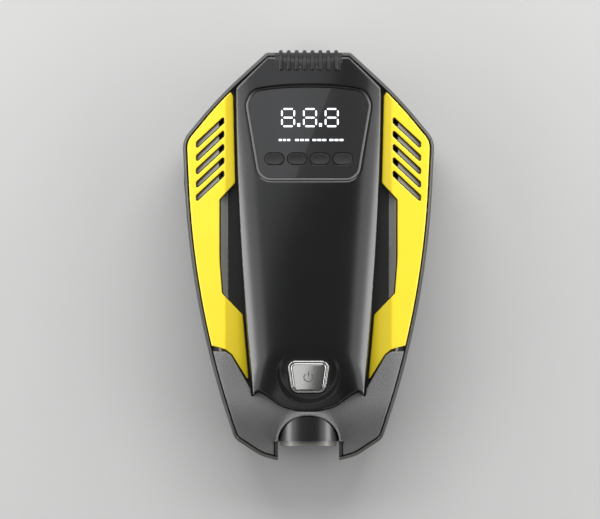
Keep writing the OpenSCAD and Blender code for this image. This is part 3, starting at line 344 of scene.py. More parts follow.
# The tub, the hollow in it (solid at the lamp, the side port and the outlet), and its cuts
back_levels = [seam_z - (seam_z - back_z) * math.sin(math.radians(a)) for a in range(90, 0, -6)]
tub_rings = [ring(wall_in(z), z) for z in back_levels]
tub_rings += [ring(0, seam_z - seam_groove), ring(seam_groove, seam_z - 0.02)]
rear_tub = loft("rear_tub", tub_rings)
hollow_levels = (back_z + wall, back_z + wall + 2, 9, 14, 19)
hollow_rings = [ring(wall + wall_in(z - wall), z) for z in hollow_levels]
cavity = loft("cavity", hollow_rings + [ring(wall, seam_z + 5)])
inner_end_y = -70
carve(cavity, block(-past, past, tip_y - 9, inner_end_y, 0, 40), block(-past, -half_w + 9, 18, 55, 0, 40),
      block(45, past, outlet_y - 10, outlet_y + 10, 0, 40))
carve(rear_tub, cavity)
carve(rear_tub, *lamp_room())
for seats, radius, depth, sides in ((screw_places, screw_seat_r, screw_seat_t, 48),
                                    (foot_places, foot_seat_r, foot_seat_t, 64)):
    carve(rear_tub, *[rod(radius, (x, y, -1), (x, y, back_z + depth), sides) for x, y in seats])
carve(rear_tub, rod(nut_room_r, (outlet_seat_x, outlet_y, outlet_z), (past, outlet_y, outlet_z), 96),
      rod(outlet_r + 0.05, (30, outlet_y, outlet_z), (past, outlet_y, outlet_z), 64))
side_port_y, side_port_l, side_flap_z, flap_t, flap_gap = 36.0, 30.0, 11.0, 2.2, 0.3
usb_z, usb_window_h, usb_pitch = 16.8, 6.9, 15.0
side_y0, side_y1 = side_port_y - side_port_l / 2, side_port_y + side_port_l / 2
pocket_x = half_w - 5.2
carve(rear_tub, block(-past, -pocket_x, side_y0 - flap_gap, side_y1 + flap_gap, side_flap_z - flap_gap, 40),
      block(-half_w, -45, side_port_y - usb_pitch, side_port_y + usb_pitch,
            usb_z - usb_window_h / 2, usb_z + usb_window_h / 2))
dress(rear_tub, satin_abs, "shell", "housing", "rear_shell")

# ---------------------------------------------------------------- front shell
# Front half of the housing in the same satin ABS: its side walls, the rim that shows round the
# covers, the deck that the covers lie on and the open channels beside the spine. The rim and
# the raised side of each channel carry a coat of silver-grey paint.
deck_z, crest_z, crest_x, panel_edge_z = 41.5, 47.6, 41.5, 40.8
cover_t, rim_w, rim_gap = 2.3, 1.5, 0.7
cover_in = rim_w + rim_gap
crown_r = 1200.0
# Side view of the covers' surface, from the lamp's mouth to the top end and back below
toe_corners = [(tip_y - 5, 24, 0.5), (tip_y + 10, 31, 8), (tip_y + 22.5, 45.6, 24), (0, 49.5, 50),
               (top_y, 49.5, 10), (top_y, -130, 0.5), (tip_y - 5, -130, 0.5)]
# Sprayed two-pack paint with metal flake: lighter and a little brighter than the bare plastic. It is the
# rim's grey paint made lighter, as painted light on faces that lie in shade
silver_paint_and_light = moulded("silver_grey_paint_and_light", "999893", 0.4, 0.3, 0.004, shade=0.05, Metallic=0.2)
# The same paint in a darker grey, smoother: the rim reads as a thin light line
rim_paint = moulded("grey_rim_paint", "6b6a66", 0.34, 0.3, 0.004, shade=0.05, Metallic=0.3)


def crowned(profile, x, y, soften=0.0):
    """Height of a front surface: a profile across the body, bent over its length."""
    pitch = 0.25
    fine = np.arange(0, 80, pitch)
    heights = np.interp(fine, *np.transpose(profile))
    if soften:
        reach = int(3 * soften / pitch)
        weights = np.exp(-0.5 * (np.arange(-reach, reach + 1) * pitch / soften) ** 2)
        padded = np.concatenate([heights[reach:0:-1], heights, heights[-1:].repeat(reach)])
        heights = np.convolve(padded, weights / weights.sum(), "valid")
    across = np.interp(np.abs(x), fine, heights)
    return np.sqrt((crown_r + across) ** 2 - y**2) - crown_r


def along(corners, y, inset=0.0):
    """Height of a side view's upper line at y."""
    line = rounded(corners, inset)
    line = line[: np.argmax(line[:, 0]) + 1]
    return np.interp(y, line[:, 0], line[:, 1])


deck_profile = [(0, deck_z), (crest_x - 1.3, deck_z), (crest_x + 2.25, crest_z - cover_t),
                (half_w - 2.75, panel_edge_z - cover_t), (half_w + 5, panel_edge_z - cover_t - 2)]
bumper_profile = [(0, crest_z + 0.6), (crest_x - 14, crest_z + 0.5), (crest_x - 4, crest_z + 0.3),
                  (crest_x + 1, crest_z - 0.1), (crest_x + 5, crest_z - 1.4),
                  (half_w - 2.75, panel_edge_z + 0.1), (half_w + 5, panel_edge_z - 3)]


def deck(x, y):
    """The bed under the covers."""
    return np.minimum(crowned(deck_profile, x, y), along(toe_corners, y, cover_t))


def rim_top(x, y):
    """The rim's upper edge, a little below the covers."""
    return np.minimum(crowned(bumper_profile, x, y, 1.5), along(toe_corners, y)) - 0.4


def inside(points, loop):
    """Which points lie in a loop."""
    found = np.zeros(len(points), bool)
    for (x0, y0), (x1, y1) in zip(loop, np.roll(loop, -1, axis=0)):
        if y0 != y1:
            crosses = (y0 > points[:, 1]) != (y1 > points[:, 1])
            found ^= crosses & (points[:, 0] < (x1 - x0) * (points[:, 1] - y0) / (y1 - y0) + x0)
    return found


def distance(points, edges):
    """How far each point is from the nearest edge."""
    best = np.full(len(points), 1e9)
    for start, end in edges:
        way = end - start
        share = np.clip(((points - start) @ way) / max(way @ way, 1e-12), 0, 1)
        best = np.minimum(best, np.linalg.norm(points - start - share[:, None] * way, axis=1))
    return best


def spaced(loop, step, closed=True):
    """A line with no stretch longer than the step."""
    made = []
    ends = np.roll(loop, -1, axis=0) if closed else loop[1:]
    for a, b in zip(loop, ends):
        count = max(1, math.ceil(np.linalg.norm(b - a) / step))
        made += [a + (b - a) * k / count for k in range(count)]
    return np.array(made if closed else made + [loop[-1]])


def weave(points, edges, keep):
    """Triangles between points in a plane, those whose middle is kept, and the edges round them."""
    points, _, faces, *_ = delaunay_2d_cdt([Vector(p) for p in points], edges, [], 0, 1e-4)
    points = np.array([tuple(p) for p in points])
    faces = np.array([f for f in faces if len(f) == 3])
    a, b, c = (points[faces[:, k]] for k in range(3))
    sides = np.array([b - a, c - b, a - c])
    spans = np.linalg.norm(sides, axis=2)
    # A triangle with no height that lies on an outline counts only if both sides of it are kept
    longest = sides[spans.argmax(axis=0), np.arange(len(faces))]
    flat = np.abs(np.cross(b - a, c - a)) < 0.002 * spans.max(axis=0)
    step = np.column_stack([-longest[:, 1], longest[:, 0]])[flat] / spans.max(axis=0)[flat, None] * 0.008
    middle = points[faces].mean(axis=1)
    kept = keep(middle)
    kept[flat] &= keep(middle[flat] + step) & keep(middle[flat] - step)
    faces = faces[kept]
    a, b, c = (points[faces[:, k]] for k in range(3))
    turned = np.cross(b - a, c - a) < 0
    faces[turned] = faces[turned][:, ::-1]
    # The rim is made of the edges that only one triangle has
    directed = dict.fromkeys(e for f in faces for e in ((f[0], f[1]), (f[1], f[2]), (f[2], f[0])))
    rim = [e for e in directed if (e[1], e[0]) not in directed]
    return points, faces, rim


def sink(margin, roll):
    """How far a rolled edge falls at a margin from the border."""
    return roll - np.sqrt(np.clip(roll**2 - np.clip(roll - margin, 0, None) ** 2, 0, None))


def cover(name, outlines, holes, top, low, roll, pitch=2.0, creases=(), place=None):
    """A moulded cover with its edges rolled over: inside every outline, outside every hole,
    from the heights low(x, y) to top(x, y)."""
    outlines = [spaced(np.asarray(loop, float), pitch * 0.6) for loop in outlines]
    holes = [spaced(np.asarray(loop, float), pitch * 0.6) for loop in holes]

    def keep(points):
        found = np.ones(len(points), bool)
        for loop in outlines:
            found &= inside(points, loop)
        for loop in holes:
            found &= ~inside(points, loop)
        return found

    points, edges = [], []
    for loop in outlines + holes:
        first = len(points)
        points += list(loop)
        edges += [(first + k, first + (k + 1) % len(loop)) for k in range(len(loop))]
    points, faces, rim = weave(points, edges, keep)
    border = np.array([[points[i], points[j]] for i, j in rim])
    inward = np.zeros_like(points)
    for i, j in rim:
        way = points[j] - points[i]
        normal = np.array([-way[1], way[0]]) / max(np.linalg.norm(way), 1e-9)
        inward[i] += normal
        inward[j] += normal
    used = sorted({i for e in rim for i in e})
    index = {old: new for new, old in enumerate(used)}
    sides = inward[used] / np.maximum(np.linalg.norm(inward[used], axis=1), 1e-9)[:, None]
    more = []
    for depth in (0.13 * roll, 0.5 * roll, roll, roll * 1.7):
        shell_points = points[used] + sides * depth
        near = keep(shell_points) & (distance(shell_points, border) > 0.85 * depth)
        more.append(shell_points[near])
    # Inside the rolled edge, a grid of even triangles and the creases
    low_x, low_y = points[used].min(axis=0)
    high_x, high_y = points[used].max(axis=0)
    rows = np.arange(low_y, high_y, pitch * 0.866)
    columns = np.arange(-math.ceil(-low_x / pitch + 1), high_x / pitch + 1) * pitch
    grid = np.array([(x + (pitch / 2 if k % 2 else 0), y) for k, y in enumerate(rows) for x in columns])
    grid = grid[keep(grid)]
    more.append(grid[distance(grid, border) > roll * 1.7 + pitch * 0.3])
    for line in creases:
        line = spaced(np.asarray(line, float), pitch * 0.5, closed=False)
        line = line[keep(line)]
        if len(line):
            more.append(line[distance(line, border) > roll * 0.4])
    everything = np.concatenate([points[used]] + more)
    points, faces, rim = weave(everything, [(index[i], index[j]) for i, j in rim], keep)
    upper = top(points[:, 0], points[:, 1]) - sink(distance(points, border), roll)
    lower = np.minimum(low(points[:, 0], points[:, 1]), upper - 0.2)
    n = len(points)
    solid = np.concatenate([np.column_stack([points, upper]), np.column_stack([points, lower])])
    if place is not None:
        solid = place(solid)
    shell = [tuple(f) for f in faces] + [tuple(f[::-1] + n) for f in faces]
    shell += [(i, i + n, j + n, j) for i, j in rim]
    kept = sorted({i for f in shell for i in f})
    index = {old: new for new, old in enumerate(kept)}
    return build(name, solid[kept], [[index[i] for i in f] for f in shell])


# Rings up the wall, over the rim and down to the deck
rim_here = rim_top(*ring(1.2, 0).T[:2])
rim_in = wall_in(rim_here)
lid_rings = [ring(seam_groove, seam_z + 0.02)]
for level in np.linspace(0, 1, 7):
    height = seam_z + seam_groove + (rim_here - 0.3 - seam_z - seam_groove) * level
    lid_rings.append(ring(wall_in(height), height))
for share, sunk in ((0.12, 0.12), (0.35, 0.0), (0.7, 0.0), (0.93, 0.1), (1.0, 0.3)):
    lid_rings.append(ring(rim_in + (rim_w - rim_in) * share, rim_here - sunk))
deck_loop = ring(rim_w, 0)[:, :2]
lid_rings.append(ring(rim_w, deck(*deck_loop.T)))


def on_deck(points):
    """Which points lie within the rim."""
    return inside(points, deck_loop)


# The deck: a grid of triangles with extra points along its bends
deck_step_x, deck_step_y = 2.5, 2.2
notch_side_x = lamp_r + lamp_gap + rim_w
bends = [(side * x, 95, -95) for side in (-1, 1) for x in (crest_x - 1.3, crest_x + 2.25, half_w - 2.75)]
bends += [(side * notch_side_x, -90, -103) for side in (-1, 1)]
grid = np.array([(x + (deck_step_x / 2 if k % 2 else 0), y)
                 for k, y in enumerate(np.arange(-100, 100, deck_step_y))
                 for x in np.arange(-62.5, 63, deck_step_x)])
grid = grid[on_deck(grid)]
deck_edges = [(k, (k + 1) % len(deck_loop)) for k in range(len(deck_loop))]
deck_border = np.array([[deck_loop[i], deck_loop[j]] for i, j in deck_edges])
grid = grid[distance(grid, deck_border) > 0.8]
for x, y0, y1 in bends:
    line = spaced(np.array([(x, y0), (x, y1)], float), 1.5, closed=False)
    line = line[on_deck(line)]
    grid = np.concatenate([grid, line[distance(line, deck_border) > 0.6]])
bed, bed_faces, _ = weave(np.concatenate([deck_loop, grid]), deck_edges, on_deck)
lid_points = np.concatenate(lid_rings)
n = len(edge_points)
lid_faces = [(i * n + j, (i + 1) * n + j, (i + 1) * n + (j + 1) % n, i * n + (j + 1) % n)
             for i in range(len(lid_rings) - 1) for j in range(n)]
lid_faces.append(list(range(n)))
first = len(lid_points)
lid_points = np.concatenate([lid_points, np.column_stack([bed, deck(bed[:, 0], bed[:, 1])])])
# The bed's outer points are those of the last ring
joined = {}
for k, point in enumerate(bed):
    gap = np.abs(deck_loop - point).sum(axis=1)
    if gap.min() < 1e-3:
        joined[first + k] = (len(lid_rings) - 1) * n + int(gap.argmin())
lid_faces += [[joined.get(first + i, first + i) for i in f] for f in bed_faces]
front_lid = build("front_lid", lid_points, lid_faces)
# Hollow below the deck, solid at the lamp and at the top port, then the lamp, port and socket
lid_cavity = loft("cavity", [ring(wall, seam_z - 5), ring(wall + 1.2, 38.4)])
carve(lid_cavity, block(-past, past, tip_y - 9, inner_end_y, 0, 60), block(-past, past, 79, 110, 0, 60))
carve(front_lid, lid_cavity)
carve(front_lid, *lamp_room())
port_w, port_hinge_z = 33.2, 25.0
flap_floor_y = top_y - flap_t - flap_gap
socket_w, socket_h, socket_z = 24.0, 10.0, port_hinge_z + 5.4
carve(front_lid,
      block(-port_w / 2 - flap_gap, port_w / 2 + flap_gap, flap_floor_y, 120, port_hinge_z - flap_gap, 80),
      block(-socket_w / 2, socket_w / 2, top_y - 20, 120, socket_z - socket_h / 2, socket_z + socket_h / 2))
slots, slot_pitch, slot_h, slot_in_x, slot_out_x, slot_slope = 5, 6.65, 3.0, 42.25, 56.0, 0.93
slot_top_y, slot_corner_r, vent_l = 53.3, 0.5, 2.6


def slot_loop(i, side, inner, outer, inset=0.0):
    """One slanted slot of a side panel."""
    at = [slot_top_y - i * slot_pitch + (slot_out_x - x) * slot_slope for x in (inner, outer)]
    corners = [(inner, at[0]), (inner, at[0] + slot_h), (outer, at[1] + slot_h), (outer, at[1])]
    return rounded([(*corner, slot_corner_r) for corner in corners], inset) * (side, 1)


# Through the deck, each slot is open at its inner end only
for side in (-1, 1):
    vents = [slot_loop(i, side, slot_in_x, slot_in_x + vent_l) for i in range(slots)]
    carve(front_lid, *[prism(vent[::side], 30, 70) for vent in vents])
dress(front_lid, satin_abs, "shell", "housing", "front_shell")
front_lid.data.materials.append(silver_paint_and_light)
front_lid.data.materials.append(rim_paint)
centres = np.array([tuple(face.center) for face in front_lid.data.polygons]) / MM
under_covers = inside(centres[:, :2], rounded(body_corners, cover_in + 0.3))
inside_rim = inside(centres[:, :2], rounded(body_corners, rim_w + 0.1))
# Silver on the raised side of the channels and below the slots, grey on the rim and in the notch. The
# silver is the rim's paint made lighter: painted light where these faces lie in shade
channel_x, slot_bed_y, channel_end_y = 44.6, 15, -58
for face, (x, y, z), covered, inner in zip(front_lid.data.polygons, centres, under_covers, inside_rim):
    raised = covered and abs(x) > crest_x - 1.35 and y > channel_end_y
    rim = not inner or (abs(x) < notch_side_x and y < mouth_y)
    if z > seam_z + 0.4 and face.normal.z > 0.12:
        if raised and (abs(x) < channel_x or y > slot_bed_y):
            face.material_index = 1
        elif rim:
            face.material_index = 2

# ---------------------------------------------------------------- spine cover
# The raised middle of the front: glossy black ABS, arched across and along, steep at the sides,
# with the display's window, a sunk ring round the power key and a pocket for the top port cover.
spine_foot_x, spine_taper, spine_r, spine_top_y, spine_span = 36.6, 7.3, 84.0, 86.0, 144.5
foot_h, foot_lean, shoulder = 6.5, 0.5, math.tan(math.radians(43))
# Side view: the lower end, the bend over the power key, the top end and back below
low_corner, bend = (-79.5, 45.8), (-52.0, body_h - 0.6)
spine_corners = [(*low_corner, 0.5), (*bend, 30), (top_y, body_h + 2, 15), (top_y, -130, 0.5),
                 (low_corner[0], -130, 0.5)]
slope = math.atan2(bend[1] - low_corner[1], bend[0] - low_corner[0])
power_y = -61.0
power_z = low_corner[1] + (power_y - low_corner[0]) * math.tan(slope)
hollow_r, hollow_edge, hollow_shift, hollow_depth, hollow_tilt = 16.2, 2.2, 2, 0.4, 0.025
spine_arch = [(x, body_h - spine_r + math.sqrt(spine_r**2 - x * x)) for x in np.arange(0, 50, 0.5)]
# Polished ABS: deep black that mirrors lamps softly along the shoulders
gloss_abs = moulded("gloss_black_abs", "0a0a0a", 0.25, 0.5, 0.004, shade=0.05, Coat_Weight=0.8,
                    Coat_Roughness=0.21)


def foot_x(y):
    """Half width of the spine's foot at deck height on the middle line."""
    return spine_foot_x - spine_taper * ((spine_top_y - y) / spine_span) ** 2


def base_x(y):
    """Half width of the spine where it meets the crowned deck."""
    return foot_x(y) + y**2 / (2 * crown_r) * foot_lean / foot_h


def soft_min(a, b, reach):
    """The lower of two heights, blended where they come nearer than the reach."""
    blend = np.clip(reach - np.abs(a - b), 0, None) / reach
    return np.minimum(a, b) - blend**2 * reach / 4


def spine_top(x, y):
    """Height of the spine: arch, flanks and the slope of the power key, blended into each other."""
    arch = crowned(spine_arch, x, y)
    room = foot_x(y) - np.abs(x)
    rise = room - foot_lean
    foot, side = deck_z + foot_h * room / foot_lean, deck_z + foot_h + rise * shoulder - 0.016 * rise**2
    soften = 1.2 + 4.5 * np.clip((-45 - y) / 12, 0, 1)
    height = soft_min(soft_min(arch, soft_min(foot, side, 1.6), 3.8), along(spine_corners, y), soften)
    # Shallow round hollow of the power key, deeper at its lower end
    v = (y - power_y) / math.cos(slope) - hollow_shift
    depth = np.clip(hollow_depth - hollow_tilt * v, 0, None)
    edge = np.clip((hollow_r - np.hypot(x, v)) / hollow_edge, 0, 1)
    return height - depth * edge * edge * (3 - 2 * edge)


def bed_top(x, y):
    """Underside of the covers, just clear of the deck."""
    return deck(x, y) + 0.02


display_w, display_h, display_top_y = 63.0, 47.6, 84.8
display_corners = both_sides([
    (14, display_top_y, 130), (display_w / 2 - 3.7, display_top_y - 2.2, 7),
    (display_w / 2, display_top_y - 9, 8), (display_w / 2 - 6.6, display_top_y - display_h, 7.5),
])
power_corners = both_sides([(9.2, 7.4, 2.4), (7.1, -7.4, 2.6)])
power_ring_w, key_gap = 0.9, 0.3
power_hole = rounded(power_corners, -power_ring_w - key_gap) * (1, math.cos(slope)) + (0, power_y)
# The spine's lower end has a point at each side and a bow between them; the bumper laps it
end_curve = [(28.2, -70.7, 0.6), (25.1, -67.6, 1.5), (21.1, -69.6, 4), (13.15, -75.6, 14), (4, -78, 20)]
side_curve = [(base_x(y), y, 300) for y in (60, 30, 0, -30, -58)]
top_curve = [(20.2, top_y - cover_in, 1), (base_x(83), 83.0, 1.5)]
spine_outline = rounded(both_sides(top_curve + side_curve + end_curve))
# Extra points where the surface bends most: along the flanks and round the hollow
flank_lines = [[(side * (foot_x(y) - k), y) for y in range(96, -72, -4)]
               for side in (-1, 1) for k in (0.15, 0.3, 0.42, 0.55, 0.8, 1.2, 2.0, 3.2, 4.4, 5.6, 7.0, 8.6)]
hollow_lines = [[(r * math.sin(t), power_y + (r * math.cos(t) + hollow_shift) * math.cos(slope))
                 for t in np.linspace(0, 2 * math.pi, 140)] for r in (14.0, 14.5, 15.1, 15.7, hollow_r)]
spine = cover("spine", [spine_outline], [rounded(display_corners, -0.05), power_hole],
              spine_top, bed_top, 0.8, 1.7, flank_lines + hollow_lines)
port_lip = 9.4


def port_line(lift, y0):
    """Side view of the rounded top end, raised by a lift, from y0 to the front and down."""
    line = rounded([(*bend, 30), (top_y, body_h + 2, 15), (top_y, 0, 0.5), (bend[0], 0, 0.5)], -lift)
    line = spaced(line[: len(line) // 2 + 40], 0.5, closed=False)
    return line[line[:, 0] > y0]


pocket = port_line(-flap_t - flap_gap, top_y - port_lip - flap_gap)
pocket = pocket[pocket[:, 1] > 20]
pocket = np.concatenate([pocket, [(pocket[-1][0], 10), (130, 10), (130, past), (pocket[0][0], past)]])
half_pocket = port_w / 2 + flap_gap
carve(spine, loft("cutter", [np.column_stack([np.full(len(pocket), x), pocket])
                             for x in (half_pocket, -half_pocket)]))
dress(spine, gloss_abs, "spine_black", "housing", "spine_cover")

# ---------------------------------------------------------------- side panels
# The two yellow covers at the sides: satin-gloss ABS in through-coloured yellow, a crest along the
# inner side, five slanted slots and an open bay for the channel; clipped to the deck.
spine_gap, cover_gap = 0.9, 0.4
# Through-coloured ABS: a clean, even yellow with a weak sheen. Inside the crest, where the surface turns to
# the dark spine, a second, slightly lighter copy of the same yellow is used: painted light on the facet
# that the spine shades
yellow_abs, inner_facet_painted_light = (
    moulded(name, hexed, 0.33, 0.6, 0.004, shade=0.03, Coat_Weight=0.3, Coat_Roughness=0.15)
    for name, hexed in (("yellow_abs", "fbdb29"), ("yellow_abs_inner_facet_painted_light", "ffe228"))
)
panel_profile = [(0, crest_z - 0.4 * crest_x), (crest_x, crest_z), (half_w - 2.75, panel_edge_z),
                 (half_w + 5, panel_edge_z - 3)]


def panel_inner(y):
    """The panels' edge beside the spine."""
    return base_x(y) + spine_gap


def panel_top(x, y):
    """The panels' surface, with its crest a little softened."""
    return np.minimum(crowned(panel_profile, x, y, 0.35), along(toe_corners, y))


# Right panel: the lower end, the open bay between y -30 and 36, the upper end
bay_y0, bay_y1 = -30, 36
panel_corners = [
    (half_w + 10, 95, 1), (half_w + 10, -44.6, 1), (47.9, -45.4, 3), (41.5, -47.1, 2), (38.2, -49.9, 2),
    (panel_inner(-63.3), -63.3, 0.5), (panel_inner(bay_y0), bay_y0, 1), (43.2, -19.2, 1.5),
    (44.5, -2.5, 80), (44.5, 27.7, 1.5), (panel_inner(bay_y1), bay_y1, 1),
    (panel_inner(79.5), 79.5, 1), (panel_inner(81) + 1.4, 81.6, 0.8), (panel_inner(81) + 8, 95, 1),
]
inner_edge = rounded(body_corners, cover_in)
slot_play = 0.25
for side, name in ((1, "right_panel"), (-1, "left_panel")):
    crest = [[(side * (crest_x + k), 95), (side * (crest_x + k), -70)] for k in (-0.7, -0.25, 0, 0.25, 0.7)]
    panel = cover(name, [rounded(panel_corners) * (side, 1), inner_edge],
                  [slot_loop(i, side, slot_in_x, slot_out_x, -slot_play) for i in range(slots)],
                  panel_top, bed_top, 0.45, 1.8, crest)
    dress(panel, yellow_abs, "panel_yellow", "housing", name.replace("panel", "side_panel"))
    panel.data.materials.append(inner_facet_painted_light)
    # The faces inside the crest take the lighter copy of the yellow: painted light
    for face in panel.data.polygons:
        if abs(face.center.x) < (crest_x - 0.1) * MM:
            face.material_index = 1


def merged(name, parts):
    """One piece out of several meshes."""
    points, faces = [], []
    for part in parts:
        first = len(points)
        points += [tuple(vertex.co / MM) for vertex in part.data.vertices]
        faces += [[first + k for k in face.vertices] for face in part.data.polygons]
        bpy.data.objects.remove(part)
    return build(name, points, faces)


# Black frames just below the openings: one in each slot and one along the edge of the open bay. They are
# painted shade: matt black that draws a thin dark line round each opening, where the openings' walls would
# lie in shade
painted_shade_black = moulded("black_painted_shade_frame", "101010", 0.6, 0.5, 0.01, shade=0.06)
shade_frame_low, shade_frame_t, shade_frame_roll, strip_h = 1.0, 0.6, 0.1, 0.5
bay_y, bay_half = (bay_y0 + bay_y1) / 2, (bay_y1 - bay_y0) / 2
bay_line = rounded(panel_corners)
bay_line = bay_line[(bay_line[:, 0] < half_w) & (np.abs(bay_line[:, 1] - bay_y) < bay_half + 0.5)]
bay_line = bay_line[np.argsort(bay_line[:, 1])]
for side, name in ((1, "right"), (-1, "left")):
    parts = [cover("lining", [slot_loop(i, side, slot_in_x, slot_out_x, -slot_play)],
                   [slot_loop(i, side, slot_in_x, slot_out_x, slot_play)],
                   lambda x, y: panel_top(x, y) - shade_frame_low,
                   lambda x, y: panel_top(x, y) - shade_frame_low - shade_frame_t, shade_frame_roll) for i in range(slots)]
    edge_strip = np.concatenate([bay_line + (0.4, 0), bay_line[::-1] - (0.6, 0)]) * (side, 1)
    parts.append(cover("lining", [edge_strip], [], lambda x, y: deck(x, y) + strip_h, bed_top, shade_frame_roll))
    dress(merged(name + "_shade_frames", parts), painted_shade_black, "soft_rubber", "housing")

# ---------------------------------------------------------------- bumper
# The grey guard over both legs: grained elastomer over a hard core, pulled up at the sides, with a
# pointed edge that laps the end of the spine and an arch over the lamp.
brow_t, barrel_gap = 1.2, 0.2
# Grained elastomer: a dull grey with an etched leather grain. The real grain is about 0.3 mm; it is
# drawn at 0.9 mm so that it shows.
grained_rubber = moulded("grained_elastomer", "757575", 0.62, 0.9, 0.35, shade=0.06)


def bumper_top(x, y):
    """The bumper's surface, with a low brow over the lamp's barrel."""
    toe = soft_min(crowned(bumper_profile, x, y, 1.5), along(toe_corners, y), 1.0)
    brow = over_lamp(x, brow_t) - 0.08 * np.clip(y - mouth_y - lamp_l, 0, None)
    return np.where(np.abs(x) < lamp_r + brow_t, -soft_min(-toe, -brow, 2.0), toe)


def over_lamp(x, gap):
    """Height over the lamp's barrel at a distance from it."""
    return lamp_z + np.sqrt(np.clip((lamp_r + gap) ** 2 - x * x, 0, None))


def bumper_low(x, y):
    """The bumper's underside: on the deck, and clear of the barrel."""
    return np.maximum(bed_top(x, y), np.where(np.abs(x) < lamp_r + barrel_gap, over_lamp(x, barrel_gap), 0))


bumper_corners = both_sides([
    (4, -78 - cover_gap, 20), (13.15, -75.6 - cover_gap, 14), (21.1, -69.6 - cover_gap, 4),
    (25.1, -67.6 - cover_gap, 1.5), (28.35, -70.9 - cover_gap, 0.5), (28.95, -67.1, 0.8), (38.6, -50.2, 3),
    (41.4, -48.3, 2), (70, -47.4, 1), (70, -130, 1),
])
arch_top_y = mouth_y + lamp_l + 0.7
arch = [((lamp_r + lamp_gap) * math.sin(t), mouth_y + (arch_top_y - mouth_y) * math.cos(t))
        for t in np.linspace(-math.pi / 2, math.pi / 2, 60)]
notch_x = lamp_r + lamp_gap + cover_in
notch_loop = np.array([(-notch_x, -130), (-notch_x, mouth_y - 0.5)] + arch
                      + [(notch_x, mouth_y - 0.5), (notch_x, -130)])
bumper = cover("bumper", [rounded(bumper_corners), inner_edge], [notch_loop],
               bumper_top, bumper_low, 0.7, 1.5)
dress(bumper, grained_rubber, "bumper_rubber", "housing", "lower_bumper")

# ---------------------------------------------------------------- display
# The window of the display: a satin frame pressed into the spine, a smoked acrylic lens lying in
# it, and below the lens the lit digits and four plain groups of bars of the pressure scale.
bezel_lip, bezel_rise, lens_t = 1.13, 0.35, 1.6
key_pitch, key_y, key_w, key_h, key_low_z = 11.35, 48.0, 9.5, 5.8, 50.6
# Metallic frame paint: a thin satin line of light round the window, with painted shade darkening its upper
# edge
bezel_paint_and_shade = moulded("satin_grey_frame_paint_and_shade", "6c6c6b", 0.4, 0.4, 0.003, shade=0.04, Metallic=0.5)
# Cast acrylic with smoke dye: nearly black, under a skin that mirrors sharply
smoked_acrylic = moulded("smoked_acrylic", "272727", 0.2, 1.5, 0.0, shade=0.02,
                         Coat_Weight=1.0, Coat_Roughness=0.02, Coat_IOR=1.49)
# Lit light guide of the display module: cool white, bright but not glaring
lit_segment = moulded("lit_led_segment", "f4f8ff", 0.5, 1.0, 0.0, shade=0.02,
                      Emission_Color=linear("f2f7ff"), Emission_Strength=0.85)


def arch_top(lift):
    """The spine's arched surface, raised by a lift."""
    return lambda x, y: crowned(spine_arch, x, y) + lift


def coat(finish, *names):
    """Gives CAD nodes a finish."""
    for name in names:
        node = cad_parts[name]
        node.data.materials.clear()
        node.data.materials.append(finish)


def oval(x, grow=0.0, steps=24):
    """Outline of a key, grown by a gap."""
    r, half = key_h / 2 + grow, (key_w - key_h) / 2
    turn = np.linspace(math.pi / 2, -math.pi / 2, steps)
    right = np.column_stack([x + half + r * np.cos(turn), key_y + r * np.sin(turn)])
    return np.concatenate([right, (2 * x, 0) + right[::-1] * (-1, 1)])


key_places = [(i - 1.5) * key_pitch for i in range(4)]
# Painted shade on the frame: its colour darkens to black from y 77 to 82.5 mm, standing in for the shadow
# along its upper edge
tree = bezel_paint_and_shade.node_tree
shader = tree.nodes["Principled BSDF"]
place = tree.nodes["Texture Coordinate"].outputs["Object"]
height = add(tree, "SeparateXYZ", {"Vector": place}).outputs["Y"]
shade_ramp_y = {"From Min": 77 * MM, "From Max": 82.5 * MM}
share = add(tree, "MapRange", {"Value": height, **shade_ramp_y}).outputs["Result"]
painted = shader.inputs["Base Color"].links[0].from_socket
painted_shade_colour = add(tree, "MixRGB", {"Fac": share, "Color1": painted, "Color2": linear("0c0c0c")}).outputs["Color"]
tree.links.new(painted_shade_colour, shader.inputs["Base Color"])
bezel = cover("bezel", [rounded(display_corners)], [rounded(display_corners, bezel_lip - 0.02)],
              arch_top(bezel_rise), arch_top(-1.7), 0.3, 1.6)
dress(bezel, bezel_paint_and_shade, "bezel", "housing", "display_bezel")
lens = cover("lens", [rounded(display_corners, bezel_lip)], [oval(x, key_gap) for x in key_places],
             arch_top(0.0), arch_top(0.02 - lens_t), 0.12, 2.0)
dress(lens, smoked_acrylic, "lens", "housing", "display_lens")


def inlay(name, loops, place=None, top=None, proud=0.05):
    """Thin flush figures with straight outlines, in one mesh."""
    points, faces = [], []
    for loop in loops:
        loop = spaced(np.asarray(loop, float), 0.7)
        height = top(loop[:, 0], loop[:, 1]) if top else np.zeros(len(loop))
        first, n = len(points), len(loop)
        points += [(*p, z + rise) for rise in (-0.15, proud) for p, z in zip(loop, height)]
        faces += [[first + k for k in range(n)], [first + n + k for k in range(n - 1, -1, -1)]]
        faces += [[first + k, first + n + k, first + n + (k + 1) % n, first + (k + 1) % n]
                  for k in range(n)]
    points = np.array(points)
    return build(name, place(points) if place else points, faces)


digit_w, digit_h, stroke, split = 7.0, 9.5, 0.85, 0.6
digit_y, digit_places = 68.7, (-10.2, 0.75, 11.6)


def bar(a, b):
    """One segment from a to b: a flat hexagon, pointed at both ends."""
    a, b = np.array(a, float), np.array(b, float)
    way = (b - a) / np.linalg.norm(b - a)
    side = np.array([way[1], -way[0]]) * stroke / 2
    a, b = a + way * split, b - way * split
    reach = way * stroke / 2
    return [a, a + reach - side, b - reach - side, b, b - reach + side, a + reach + side]


def dash(x0, x1, y0, y1):
    """An upright rectangle."""
    return [(x0, y0), (x0, y1), (x1, y1), (x1, y0)]


